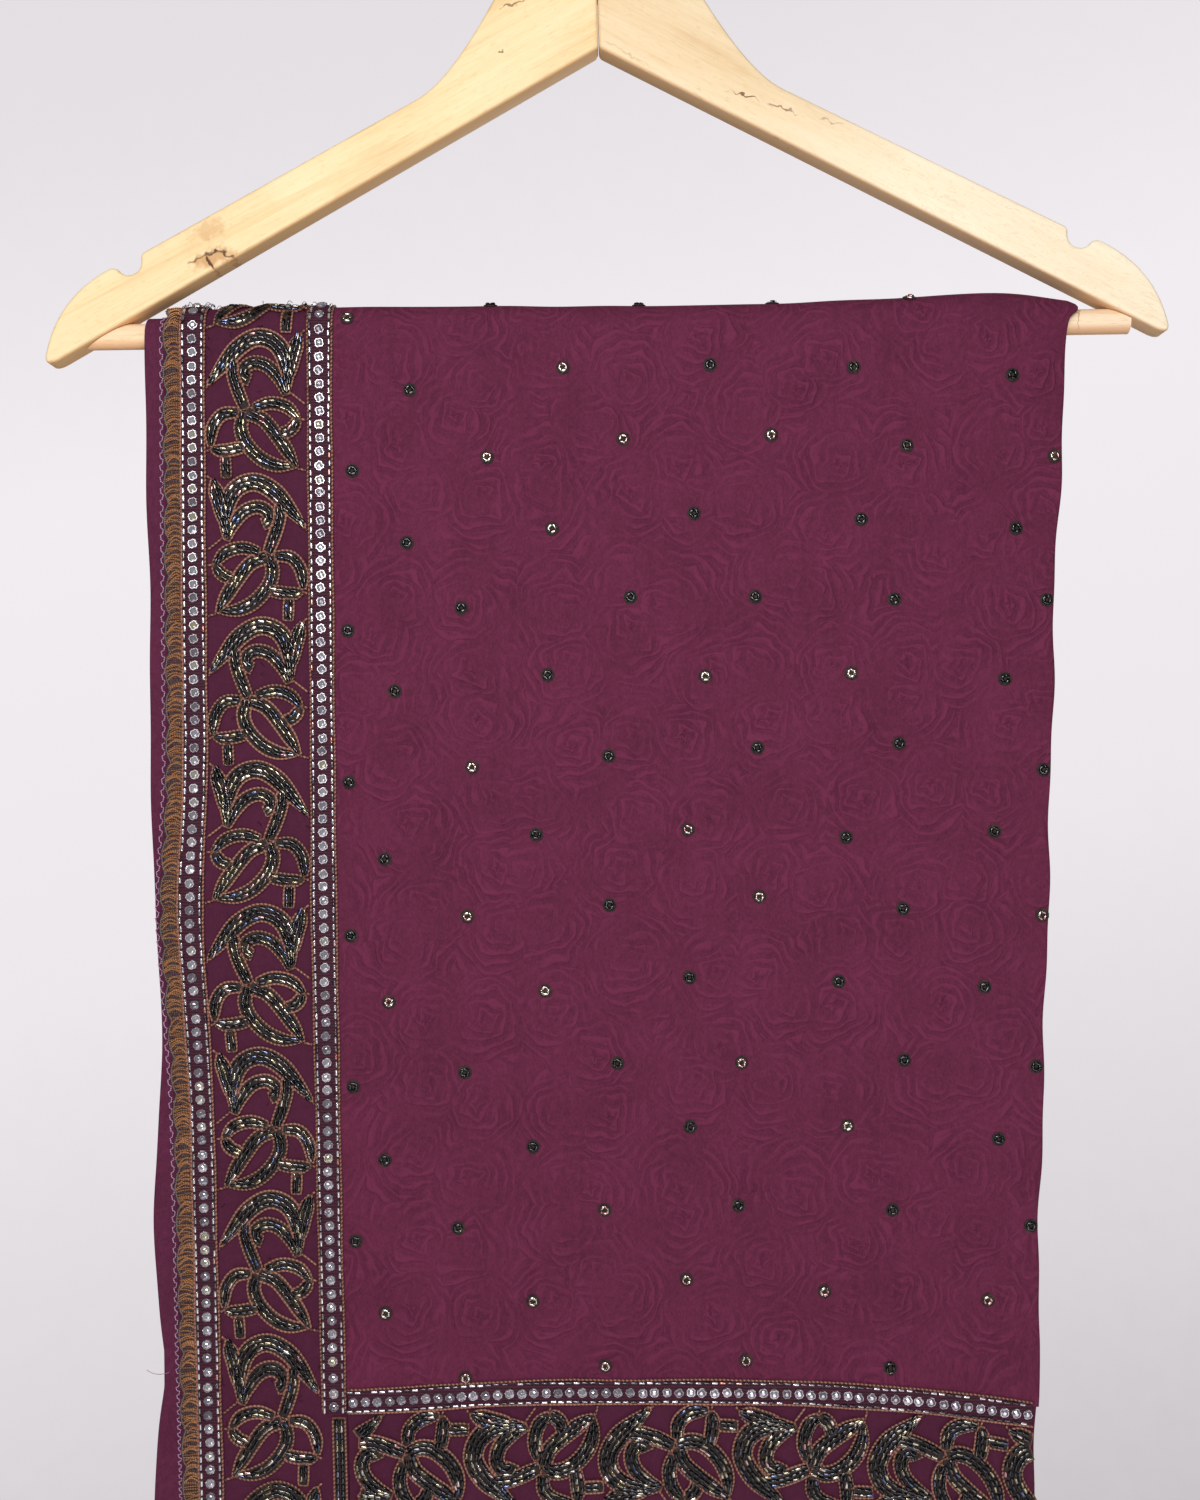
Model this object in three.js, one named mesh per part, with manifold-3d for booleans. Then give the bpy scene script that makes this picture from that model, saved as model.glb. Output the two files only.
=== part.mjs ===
// An embellished saree, folded and hung over the bar of a wooden hanger.
// Millimetres, +Z up, the front towards -Y and the beaded long edge at -X.
// The origin is the inside crown of the hook, where a rail carries the hanger.
import * as THREE from 'three';
import { mergeVertices } from 'three/addons/utils/BufferGeometryUtils.js';
import Module from 'manifold-3d';

const wasm = await Module();
wasm.setup();

// ---------------------------------------------------------------- driving dimensions

const GAP = 0.3; // between pieces that touch

// Hanger, in its own frame: origin at the hook's crown, the two arms alike.
const HANGER_TILT = 1.65; // degrees, right side up, because the beaded edge is heavier
const HOOK_TO_CORNER = 120; // down to the inner corner between the arms
const HOOK_INSIDE_RADIUS = 19;
const HOOK_WIRE = 3.8;
const HOOK_SHANK_DEPTH = 24; // length of wire inside the hub
const ARM_THICKNESS = 12;
const ARM_ROUNDING = 1.2;
const ARM_SLOPE = 28.4; // degrees, the straight underside
const ARM_REACH = 217.6; // where the underside ends
const HUB_TOP = 44.5; // above the inner corner
const HUB_SHOULDER = { x: 42, z: 19 };
const ARM_TOP_START = { x: 72.6, z: -18.1 };
const NOTCH = { x: 188.9, z: -79.6, radius: 5, inner: -76.3, outerAngle: -35 };
const TIP_START = { x: 197.2, z: -82.2 };
const TIP_END = { x: 222.8, z: -115.2 };
const ARM_CURVES = {
  hub: { x: 27, z: 44.5 },
  neck: { x: 59.9, z: -11.5 },
  notchEdge: { x: 194.8, z: -81.2 },
  tip: { x: 218, z: -93 },
  tipCorner: { x: 223.8, z: -120.4 },
};
const HOOK = {
  tipAngle: 205, // degrees round the ring, from +X
  bendAngle: -35,
  step: 15,
  bendControl: { x: -5.7, z: -8.2 }, // from where the ring is left
  shankControlZ: -40,
  shankTopZ: -53,
  shankZ: [-66, -82],
};

// Bar: a dowel whose ends are cut to the undersides of the arms.
const BAR_DIAMETER = 10;
const BAR_CENTRE_Z = -230.4; // at x = 0
const BAR_TILT = 0.9; // degrees
const BAR_LEFT = -206;
const BAR_RIGHT = 215;

// Saree: 5.2 m x 1.1 m, folded in 3 across its width and in 5 passes over the bar.
const PLIES_INSIDE = 5.3; // radius of the innermost ply, clear of the bar
const PLIES_OUTSIDE = 8.1; // radius of the outermost hidden ply
const FIELD_WALL = 1.2;
const BACKING_WALL = 1;
const CUTWORK_WALL = 1.6;
const STONE_ROW_HEIGHT = 2.2;
const EDGING_HEIGHT = 1;
const PLIES_FRONT_END_Z = -717; // the hidden plies end just above the pallu end
const BACK_FOLD_Z = -745; // rounded fold at the foot of the back
const CLOSING = 2.4; // how far each drop swings in under the bar
const CLOSING_DEPTH = 220;
const SWAY = 0.9; // largest shallow wave of the hanging drops
const SWAY_LENGTH = 320;
const FOLD_NOSE = 2.4; // thickness of the doubled cloth along the right-hand fold
const NOSE = { length: 2.8, neck: 2.2, round: 0.8, shoulder: 0.7 };
const TUCK_UP = 10; // how far the back's fold comes up inside
const PLIES_IN_FOLD = 3.3; // the hidden plies stop this far inside the right-hand fold
const PLY_GROOVE = 1.2;
const PLY_EDGES = 4; // edges that show at each side of the hidden plies

// Border, measured across from the seam with the field towards the free long edge.
const SEAM_X = -101.3; // at the bar; the border drifts right lower down
const FIRST_ROW = 0.9;
const ROW_WIDTH = 8.6;
const BAND_WIDTH = 41.8;
const EDGING_WIDTH = 5.9;
const SCALLOP_PITCH = 13.8;
const SCALLOP_DEPTH = 1.7;
const HEM_BORDER_TOP_Z = -649; // top of the border along the pallu end
const HEM_STRIP = 8.3; // plain strip of backing below the edging, along the pallu end
const STRIP_DROP = 2.8; // the free strip of backing hangs this much behind the border
const STRIP_STEP = { from: -68.9, to: -66.1 }; // where the backing steps out, from the seam
const PLIES_LEFT = -64.5; // the hidden plies' other edge, from the seam
const ROW_SHOULDER = 1.6; // slope at each side of a stone row
const HEM_CLEAR_OF_FOLD = 0.6;

// Edges of the folded bundle and drift of the border, down the drop.
const SIDES = [
  { depth: 0, left: -175.5, right: 188.4, drift: 0 },
  { depth: 25, left: -174.4, right: 186.6, drift: 0 },
  { depth: 60, left: -174.8, right: 184.8, drift: 0.2 },
  { depth: 100, left: -173.8, right: 182.8, drift: 0.5 },
  { depth: 150, left: -173.6, right: 181.8, drift: 0.8 },
  { depth: 220, left: -172.2, right: 180.6, drift: 1.5 },
  { depth: 290, left: -168.6, right: 178.7, drift: 2.6 },
  { depth: 350, left: -172.4, right: 176.9, drift: 3.6 },
  { depth: 412, left: -169.6, right: 176.2, drift: 5 },
  { depth: 450, left: -171.4, right: 176, drift: 6.1 },
  { depth: 500, left: -171.7, right: 176, drift: 7 },
  { depth: 560, left: -171.7, right: 176, drift: 7 },
];

// How far the pallu end droops towards each side, from a level middle.
const DROOP = {
  left: { from: -10, to: -110, by: 3.6 },
  right: { from: 60, to: 176, by: 8.6 },
};

// How loosely the plies lie over the bar, across the saree.
const CREST = [
  { x: -180, lift: 0.8 },
  { x: -100, lift: 0.8 },
  { x: -40, lift: 0.2 },
  { x: 20, lift: -0.8 },
  { x: 55, lift: -0.8 },
  { x: 90, lift: 0 },
  { x: 150, lift: 0 },
  { x: 190, lift: -1.2 },
];
const CREST_DEPTH = 60; // the looseness is gone this far below the bar

// Cutwork: half-repeats of scroll and leaf, alternately mirrored, and the gaps of one.
// across runs from the outer rail to the inner one, down from the crest of the scroll.
const REPEAT = { width: 39, side: 56.6, hem: 53.2 };
const FIRST_CREST = { frontDepth: 2, hemX: -101 };
const RAIL_CLEAR = 0.8; // cloth left beyond the gaps, along both rails
const END_CLEAR = { top: 2, front: 12, foot: 12, seam: 9, fold: 4 }; // and at the ends
const REPEATS = { front: 9, back: 10, hem: 6 };
const GAP_CORNERS = 6;
const GAPS = [
  { name: 'under the hook', across: 17.5, down: 22, long: 12, wide: 9.5, turn: -15, taper: 0.2 },
  { name: 'below the tail', across: 34.4, down: 26.5, long: 13, wide: 7, turn: -90, taper: 0.4 },
  { name: 'heart of the leaf', across: 17, down: 42, long: 12.5, wide: 5.6, turn: 137, taper: 0.3 },
  { name: 'inner side leaf', across: 30.5, down: 38.5, long: 8, wide: 6.6, turn: 45, taper: 0.2 },
  { name: 'outer side leaf', across: 10.5, down: 33, long: 8, wide: 5, turn: 10, taper: 0 },
  { name: 'shoulder', across: 34.8, down: 4.5, long: 12, wide: 6, turn: 63, taper: 0 },
  { name: 'by the inner rail', across: 36, down: 50.5, long: 7.5, wide: 5, turn: 90, taper: 0 },
  { name: 'foot of the leaf', across: 24, down: 50.5, long: 10.5, wide: 5, turn: -10, taper: 0 },
  { name: 'by the scroll', across: 3.2, down: 20.5, long: 9, wide: 5, turn: 90, taper: 0 },
  { name: 'by the leaf', across: 3.6, down: 45, long: 9, wide: 5, turn: 75, taper: 0 },
];

// ------------------------------------------------------------------------- helpers

const radians = (degrees) => (degrees * Math.PI) / 180;
const lerp = THREE.MathUtils.lerp;
const underside = Math.tan(radians(ARM_SLOPE));

function lookUp(table, key, at, value) {
  const next = table.findIndex((row) => row[key] >= at);
  if (next === 0) return table[0][value];
  if (next < 0) return table[table.length - 1][value];
  const [low, high] = [table[next - 1], table[next]];
  return lerp(low[value], high[value], (at - low[key]) / (high[key] - low[key]));
}

function toSolid(geometry) {
  const bare = geometry.clone();
  bare.deleteAttribute('normal');
  bare.deleteAttribute('uv');
  const merged = mergeVertices(bare, 1e-4);
  const vertProperties = new Float32Array(merged.attributes.position.array);
  const triVerts = new Uint32Array(merged.index.array);
  return new wasm.Manifold(new wasm.Mesh({ numProp: 3, vertProperties, triVerts }));
}

function toGeometry(solid) {
  const mesh = solid.getMesh();
  const geometry = new THREE.BufferGeometry();
  geometry.setAttribute('position', new THREE.BufferAttribute(mesh.vertProperties, 3));
  geometry.setIndex(new THREE.BufferAttribute(mesh.triVerts, 1));
  return geometry;
}

// A solid through rings of points. section gives one ring's outline as [a, b] pairs, and place
// puts a pair of one station in space. Most outlines run out along one face of a strip and back
// along the other, so an end is closed from point to opposite point. A flat end may be any shape.
function loft(stations, section, place, closeEnd = closeStrip) {
  const outlines = stations.map(section);
  const count = outlines[0].length;
  const positions = outlines.flatMap((outline, j) =>
    outline.flatMap(([a, b]) => place(a, stations[j], b).toArray()));
  const faces = [];
  for (let j = 0; j + 1 < stations.length; j += 1) {
    for (let i = 0; i < count; i += 1) {
      const [low, high] = [j * count + i, j * count + ((i + 1) % count)];
      faces.push([low, high, high + count], [low, high + count, low + count]);
    }
  }
  const last = (stations.length - 1) * count;
  const turned = ([first, second, third]) => [first, third, second];
  faces.push(...closeEnd(outlines[0]).map(turned));
  faces.push(...closeEnd(outlines[outlines.length - 1]).map(
    (face) => face.map((corner) => corner + last)));
  const geometry = new THREE.BufferGeometry();
  geometry.setAttribute('position', new THREE.Float32BufferAttribute(positions, 3));
  geometry.setIndex(faces.flat());
  return facingOut(geometry);
}

function closeStrip(outline) {
  const end = outline.length - 1;
  return Array.from({ length: (end - 1) / 2 }, (_, i) => [
    [i, i + 1, end - 1 - i], [i, end - 1 - i, end - i]]).flat();
}

function closeFlat(outline) {
  const flat = outline.map(([a, b]) => new THREE.Vector2(a, b));
  const ringTurns = Math.sign(THREE.ShapeUtils.area(flat));
  return THREE.ShapeUtils.triangulateShape(flat, []).map((corners) => {
    const turns = Math.sign(THREE.ShapeUtils.area(corners.map((corner) => flat[corner])));
    return turns === ringTurns ? corners : [...corners].reverse();
  });
}

function facingOut(geometry) {
  const [point, index] = [geometry.attributes.position, geometry.index.array];
  const corners = [new THREE.Vector3(), new THREE.Vector3(), new THREE.Vector3()];
  let volume = 0;
  for (let face = 0; face < index.length; face += 3) {
    corners.forEach((corner, k) => corner.fromBufferAttribute(point, index[face + k]));
    volume += corners[0].dot(corners[1].clone().cross(corners[2])) / 6;
  }
  if (volume > 0) return geometry;
  const turned = [];
  for (let face = 0; face < index.length; face += 3) {
    turned.push(index[face], index[face + 2], index[face + 1]);
  }
  geometry.setIndex(turned);
  return geometry;
}

// An outline in the X-Z plane, pushed through from y = low to y = high.
function plate(shape, low, high, options = {}) {
  const rounding = options.rounding ?? 0;
  const geometry = new THREE.ExtrudeGeometry(shape, {
    depth: high - low - 2 * rounding,
    bevelEnabled: rounding > 0,
    bevelThickness: rounding,
    bevelSize: rounding,
    bevelOffset: -rounding,
    bevelSegments: 2,
    curveSegments: options.curveSegments ?? 8,
  });
  return geometry.rotateX(Math.PI / 2).translate(0, high - rounding, 0);
}

function outline(points) {
  return new THREE.Shape(points.map(([x, z]) => new THREE.Vector2(x, z)));
}

// -------------------------------------------------------------------------- hanger

function armShape() {
  const past = 3; // beyond the centre joint, to be cut off square
  const shape = new THREE.Shape();
  const curveTo = (control, end) => shape.quadraticCurveTo(control.x, control.z, end.x, end.z);
  shape.moveTo(-past, HUB_TOP);
  shape.lineTo(0, HUB_TOP);
  curveTo(ARM_CURVES.hub, HUB_SHOULDER);
  curveTo(ARM_CURVES.neck, ARM_TOP_START);
  shape.lineTo(NOTCH.x - NOTCH.radius, NOTCH.inner);
  shape.absarc(NOTCH.x, NOTCH.z, NOTCH.radius, Math.PI, radians(NOTCH.outerAngle), false);
  curveTo(ARM_CURVES.notchEdge, TIP_START);
  curveTo(ARM_CURVES.tip, TIP_END);
  curveTo(ARM_CURVES.tipCorner, { x: ARM_REACH, z: -ARM_REACH * underside });
  shape.lineTo(-past, past * underside);
  return shape;
}

function rightArm() {
  const half = ARM_THICKNESS / 2;
  const blank = plate(armShape(), -half, half, { rounding: ARM_ROUNDING, curveSegments: 7 });
  const jointWidth = 20;
  const joint = new THREE.BoxGeometry(jointWidth, 40, 200);
  joint.translate(GAP / 2 - jointWidth / 2, 0, 0);
  const above = 10;
  const boreLength = HOOK_SHANK_DEPTH + GAP + above;
  const boreRadius = HOOK_WIRE / 2 + GAP;
  const bore = new THREE.CylinderGeometry(boreRadius, boreRadius, boreLength, 12);
  bore.rotateX(Math.PI / 2).translate(0, 0, HUB_TOP + above - boreLength / 2);
  const cut = toSolid(blank).subtract(toSolid(joint)).subtract(toSolid(bore));
  return toGeometry(cut).translate(0, 0, -HOOK_TO_CORNER);
}

function leftArm() {
  return facingOut(rightArm().scale(-1, 1, 1));
}

function hook() {
  const wireRadius = HOOK_INSIDE_RADIUS + HOOK_WIRE / 2;
  const onRing = (degrees) => new THREE.Vector3(
    wireRadius * Math.cos(radians(degrees)), 0,
    wireRadius * Math.sin(radians(degrees)) - HOOK_INSIDE_RADIUS);
  const onShank = (z) => new THREE.Vector3(0, 0, z);
  const points = [];
  for (let degrees = HOOK.tipAngle; degrees > HOOK.bendAngle; degrees -= HOOK.step) {
    points.push(onRing(degrees));
  }
  const leaving = onRing(HOOK.bendAngle);
  const { x, z } = HOOK.bendControl;
  const bend = new THREE.CubicBezierCurve3(
    leaving, leaving.clone().add(new THREE.Vector3(x, 0, z)),
    onShank(HOOK.shankControlZ), onShank(HOOK.shankTopZ));
  points.push(...bend.getPoints(6));
  const shankEnd = HUB_TOP - HOOK_TO_CORNER - HOOK_SHANK_DEPTH;
  points.push(...HOOK.shankZ.map(onShank), onShank(shankEnd));
  const wire = new THREE.Shape().absarc(0, 0, HOOK_WIRE / 2, 0, 2 * Math.PI, false);
  const path = new THREE.CatmullRomCurve3(points);
  return new THREE.ExtrudeGeometry(wire, { steps: 36, curveSegments: 5, extrudePath: path });
}

const tilted = (geometry) => geometry.applyMatrix4(
  new THREE.Matrix4().makeRotationY(-radians(HANGER_TILT)));

function bar() {
  const dowel = new THREE.CylinderGeometry(
    BAR_DIAMETER / 2, BAR_DIAMETER / 2, BAR_RIGHT - BAR_LEFT, 20);
  dowel.rotateZ(Math.PI / 2).translate((BAR_LEFT + BAR_RIGHT) / 2, 0, 0);
  dowel.rotateY(-radians(BAR_TILT)).translate(0, 0, BAR_CENTRE_Z);
  const clear = GAP / Math.cos(radians(ARM_SLOPE));
  const reach = 260;
  const overArms = outline([
    [0, -clear], [reach, -clear - reach * underside], [reach, 0], [0, 100],
    [-reach, 0], [-reach, -clear - reach * underside],
  ]);
  const cutter = plate(overArms, -30, 30).translate(0, 0, -HOOK_TO_CORNER);
  return toGeometry(toSolid(dowel).subtract(toSolid(tilted(cutter))));
}

// ------------------------------------------------------------- how the cloth hangs

const PLIES_MIDDLE = (PLIES_INSIDE + PLIES_OUTSIDE) / 2;
const barZ = (x) => BAR_CENTRE_Z + x * Math.tan(radians(BAR_TILT));
const sides = (depth, value) => lookUp(SIDES, 'depth', depth, value);

function droop(x) {
  const { left, right } = DROOP;
  if (x < left.from) {
    return left.by * THREE.MathUtils.smoothstep(left.from - x, 0, left.from - left.to);
  }
  return right.by * Math.max(0, (x - right.from) / (right.to - right.from)) ** 2;
}

function closing(depth) {
  return CLOSING * THREE.MathUtils.smoothstep(depth, 0, CLOSING_DEPTH);
}

function sway(x, depth) {
  return SWAY * (depth / 500) * Math.sin((2 * Math.PI * (x + 60)) / SWAY_LENGTH);
}

// Plies outside the innermost one ride up over the bar where they lie loosely.
function looseness(x, radius, depth) {
  const plies = PLIES_OUTSIDE - PLIES_INSIDE;
  const outward = THREE.MathUtils.clamp((radius - PLIES_INSIDE) / plies, 0, 1);
  const fading = Math.max(0, 1 - depth / CREST_DEPTH);
  return lookUp(CREST, 'x', x, 'lift') * outward * fading;
}

function onDrop(x, z, radius, side) {
  const depth = barZ(x) - z;
  const out = radius + looseness(x, radius, depth) - closing(depth);
  return new THREE.Vector3(x, side * out + sway(x, depth), z);
}

// A station is a place along the saree's length: on the front drop, over the bar (turn, in
// degrees from the front), on the back drop, or round the fold at the foot of the back (tuck).
function alongSaree(x, station, radius) {
  if (station.turn !== undefined) {
    const out = radius + looseness(x, radius, 0);
    const turn = radians(station.turn);
    return new THREE.Vector3(x, -out * Math.cos(turn), barZ(x) + out * Math.sin(turn));
  }
  if (station.tuck !== undefined) {
    const out = radius - PLIES_MIDDLE;
    const tuck = radians(station.tuck);
    const foot = onDrop(x, BACK_FOLD_Z + PLIES_MIDDLE, PLIES_MIDDLE, 1);
    const rise = station.rise ?? 0;
    return foot.add(new THREE.Vector3(0, out * Math.cos(tuck), rise - out * Math.sin(tuck)));
  }
  const z = station.level ? station.level(x) : barZ(x) - station.depth;
  return onDrop(x, z, radius, station.side);
}

const FIELD_DEPTH = BAR_CENTRE_Z - HEM_BORDER_TOP_Z; // from the bar to the hem's border
const FOOT_DEPTH = BAR_CENTRE_Z - BACK_FOLD_Z; // and to the fold at the foot of the back
const STATION_SPACING = 5; // least drop between the last stations
const DEPTHS = SIDES.map((row) => row.depth);
const downTo = (end, side) => DEPTHS.filter((depth) => depth < end - STATION_SPACING)
  .map((depth) => ({ side, depth }));
const BACK = downTo(FOOT_DEPTH - PLIES_MIDDLE, 1);
const OVER_STEPS = 8;
const OVER = Array.from({ length: OVER_STEPS - 1 }, (_, step) => (
  { turn: (180 * (step + 1)) / OVER_STEPS, depth: 0 }));
const endOfDrop = (side, depth, level) => ({ side, depth, level });
const frontTo = (depth, level) => [
  endOfDrop(-1, depth, level), ...downTo(Math.min(depth, FIELD_DEPTH), -1).reverse()];
const footLevel = () => BACK_FOLD_Z + PLIES_MIDDLE;
const backToFoot = [...BACK, endOfDrop(1, FOOT_DEPTH, footLevel)];
const tucked = (tuck, rise) => ({ tuck, rise, depth: FOOT_DEPTH });
const FOOT = [30, 60, 90].map((tuck) => tucked(tuck));
const TUCK = [...FOOT, tucked(120), tucked(150), tucked(180), tucked(180, TUCK_UP)];
const SEAM_TURN = 2; // degrees round the bar that the seams of the stretches lie
const overBar = [{ turn: SEAM_TURN, depth: 0 }, ...OVER, { turn: 180 - SEAM_TURN, depth: 0 }];

const hemZ = (below) => (x) => HEM_BORDER_TOP_Z - below - droop(x);
const seamX = (depth) => SEAM_X + sides(depth, 'drift');

// ------------------------------------------------------------------- saree stretches

// Pieces of the border: right is each one's edge nearest the field, from the seam.
const LAYOUT = (() => {
  const innerRow = { right: -FIRST_ROW, width: ROW_WIDTH };
  const band = { right: innerRow.right - ROW_WIDTH - GAP, width: BAND_WIDTH };
  const outerRow = { right: band.right - BAND_WIDTH - GAP, width: ROW_WIDTH };
  const edging = { right: outerRow.right - ROW_WIDTH - GAP, width: EDGING_WIDTH };
  return { innerRow, band, outerRow, edging };
})();
const MIDDLE_OF_BAND = LAYOUT.band.right - BAND_WIDTH / 2;

const FIELD_COLUMNS = 12;
const fieldX = (depth, column) => lerp(
  seamX(depth) + GAP / 2, sides(depth, 'right'), column / FIELD_COLUMNS);

// The field is a wall that ends along the right-hand fold in a rounded, doubled nose.
function fieldSection({ depth }) {
  const inner = PLIES_OUTSIDE + GAP;
  const outer = inner + FIELD_WALL;
  const columns = Array.from({ length: FIELD_COLUMNS }, (_, column) => fieldX(depth, column));
  const right = sides(depth, 'right');
  const under = outer - FOLD_NOSE;
  const nose = [
    [right - NOSE.round, outer], [right, outer - NOSE.shoulder], [right, under + NOSE.shoulder],
    [right - NOSE.round, under], [right - NOSE.neck, under], [right - NOSE.length, inner],
  ];
  return [
    ...columns.map((x) => [x, outer]), ...nose, ...columns.reverse().map((x) => [x, inner])];
}

// The hidden plies: one solid whose side edges show the plies as grooves.
function pliesSection({ depth }) {
  const left = seamX(depth) + PLIES_LEFT;
  const right = sides(depth, 'right') - PLIES_IN_FOLD;
  const border = [left + 2, seamX(depth) + MIDDLE_OF_BAND, seamX(depth)];
  const field = Array.from({ length: FIELD_COLUMNS - 1 }, (_, column) => fieldX(depth, column + 1));
  const across = [...border, ...field.filter((x) => x < right - 3), right - 1.5];
  const ply = (PLIES_OUTSIDE - PLIES_INSIDE) / PLY_EDGES;
  const edge = (x, inwards) => Array.from({ length: 2 * PLY_EDGES - 1 }, (_, step) => [
    x + (step % 2 ? inwards : 0), PLIES_OUTSIDE - ((step + 1) * ply) / 2]);
  return [
    ...across.map((x) => [x, PLIES_OUTSIDE]),
    ...edge(right, -PLY_GROOVE),
    ...[...across].reverse().map((x) => [x, PLIES_INSIDE]),
    ...edge(left, PLY_GROOVE).reverse(),
  ];
}

// The backing of the border: under the cutwork, with a free strip along the outer edge.
function backingSection({ depth }) {
  const seam = seamX(depth);
  const inner = PLIES_OUTSIDE + GAP;
  const across = [
    [sides(depth, 'left'), STRIP_DROP], [seam + STRIP_STEP.from, STRIP_DROP],
    [seam + STRIP_STEP.to, 0], [seam + MIDDLE_OF_BAND, 0], [seam - GAP / 2, 0],
  ];
  return [
    ...across.map(([x, back]) => [x, inner + BACKING_WALL - back]),
    ...[...across].reverse().map(([x, back]) => [x, inner - back]),
  ];
}

const BORDER_RADIUS = PLIES_OUTSIDE + GAP + BACKING_WALL + GAP;

const domed = (low, high, height) => [
  [low, BORDER_RADIUS], [low, BORDER_RADIUS + height / 2],
  [low + ROW_SHOULDER, BORDER_RADIUS + height], [high - ROW_SHOULDER, BORDER_RADIUS + height],
  [high, BORDER_RADIUS + height / 2], [high, BORDER_RADIUS],
];
const flatStrip = (low, high, height) => [
  [low, BORDER_RADIUS], [low, BORDER_RADIUS + height], [high, BORDER_RADIUS + height],
  [high, BORDER_RADIUS]];

// Strips of the side border: x is measured from the seam.
const sideStrip = ({ right, width }, height, shape) => ({ depth }) => shape(
  seamX(depth) + right - width, seamX(depth) + right, height);

// The border along the pallu end is lofted across the saree: u runs from the side border to
// the fold, and below is measured down from the border's top.
const HEM_STATIONS = Array.from(
  { length: FIELD_COLUMNS + 1 }, (_, column) => column / FIELD_COLUMNS);
function alongHem(startOffset) {
  return (below, u, radius) => {
    const depth = FIELD_DEPTH + below;
    const start = seamX(depth) + startOffset;
    const x = lerp(start, sides(depth, 'right') - HEM_CLEAR_OF_FOLD, u);
    return onDrop(x, HEM_BORDER_TOP_Z - below - droop(x), radius, -1);
  };
}
const hemStrip = ({ right, width }, height, shape) => () => shape(-right, -right + width, height);

// ---------------------------------------------------------------------- scallops

// The edging's free side: six-sided scallops, three stations to each.
const SCALLOP_STEPS = 3;
const scallopBite = (step) => (step % SCALLOP_STEPS === 0 ? SCALLOP_DEPTH : 0);

function scallopStations(length, stationAt) {
  const steps = Math.round(length / SCALLOP_PITCH) * SCALLOP_STEPS;
  return Array.from({ length: steps + 1 }, (_, step) => ({
    ...stationAt((length * step) / steps), bite: scallopBite(step),
  }));
}

const EDGING_END = -LAYOUT.outerRow.right + ROW_WIDTH; // below the border's top, at the hem
const frontLength = FIELD_DEPTH + EDGING_END;

function edgingSection({ depth, bite }) {
  const { right, width } = LAYOUT.edging;
  return flatStrip(seamX(depth) + right - width + bite, seamX(depth) + right, EDGING_HEIGHT);
}

// ------------------------------------------------------------------------ cutwork

// One gap as a six-cornered drop, in the plane of one half-repeat.
function gapOutline(gap) {
  const turn = radians(gap.turn);
  return Array.from({ length: GAP_CORNERS }, (_, corner) => {
    const angle = (2 * Math.PI * corner) / GAP_CORNERS;
    const along = (Math.cos(angle) * gap.long) / 2;
    const aside = (Math.sin(angle) * gap.wide * (1 - gap.taper * Math.cos(angle))) / 2;
    return {
      across: gap.across + along * Math.cos(turn) - aside * Math.sin(turn),
      down: gap.down + along * Math.sin(turn) + aside * Math.cos(turn),
    };
  });
}

// Cuts the gaps of the half-repeats whose corners all fall between the rails and inside the
// limits. toPlane gives a corner's [x, z], and side is -1 on the front and 1 on the back.
function cutGaps(wall, { count, mirrorFirst, pitch, side, upsideDown, toPlane, allowed }) {
  const [low, high] = side < 0 ? [-40, 0] : [0, 40];
  let solid = toSolid(wall);
  for (let repeat = 0; repeat < count; repeat += 1) {
    const mirrored = (repeat % 2 === 0) === mirrorFirst;
    for (const gap of GAPS) {
      const corners = gapOutline(gap).map(({ across, down }) => {
        const part = down / REPEAT.side;
        return {
          across: mirrored ? REPEAT.width - across : across,
          along: (repeat + (upsideDown ? 1 - part : part)) * pitch,
        };
      });
      if (!corners.every((corner) => betweenRails(corner) && allowed(corner))) continue;
      solid = solid.subtract(toSolid(plate(outline(corners.map(toPlane)), low, high)));
    }
  }
  return toGeometry(solid);
}

const betweenRails = ({ across }) =>
  across > RAIL_CLEAR && across < REPEAT.width - RAIL_CLEAR;
const RAIL = (BAND_WIDTH - REPEAT.width) / 2;
const bandEdge = LAYOUT.band.right - BAND_WIDTH + RAIL;

function onSideBand(depth, across) {
  const x = seamX(depth) + bandEdge + across;
  return [x, barZ(x) - depth];
}

function cutworkFront() {
  const wall = loft(
    frontTo(frontLength, hemZ(-LAYOUT.band.right + BAND_WIDTH)),
    sideStrip(LAYOUT.band, CUTWORK_WALL, flatStrip), alongSaree);
  return cutGaps(wall, {
    count: REPEATS.front,
    mirrorFirst: true,
    pitch: REPEAT.side,
    side: -1,
    toPlane: ({ across, along }) => onSideBand(FIRST_CREST.frontDepth + along, across),
    allowed: ({ along }) => along > END_CLEAR.top / 2
      && along + FIRST_CREST.frontDepth < frontLength - END_CLEAR.front,
  });
}

// The half-repeats run on over the bar, so on the back they stand upside down: the first
// one begins at the front's first crest and ends lower down the back.
function cutworkBack() {
  const wall = loft(
    [...backToFoot, ...FOOT], sideStrip(LAYOUT.band, CUTWORK_WALL, flatStrip), alongSaree);
  const overTheBar = Math.PI * BORDER_RADIUS + FIRST_CREST.frontDepth;
  const toDepth = (along) => along - overTheBar;
  return cutGaps(wall, {
    count: REPEATS.back,
    mirrorFirst: false,
    pitch: REPEAT.side,
    side: 1,
    upsideDown: true,
    toPlane: ({ across, along }) => onSideBand(toDepth(along), across),
    allowed: ({ along }) => toDepth(along) > END_CLEAR.top
      && toDepth(along) < FOOT_DEPTH - END_CLEAR.foot,
  });
}

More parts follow.
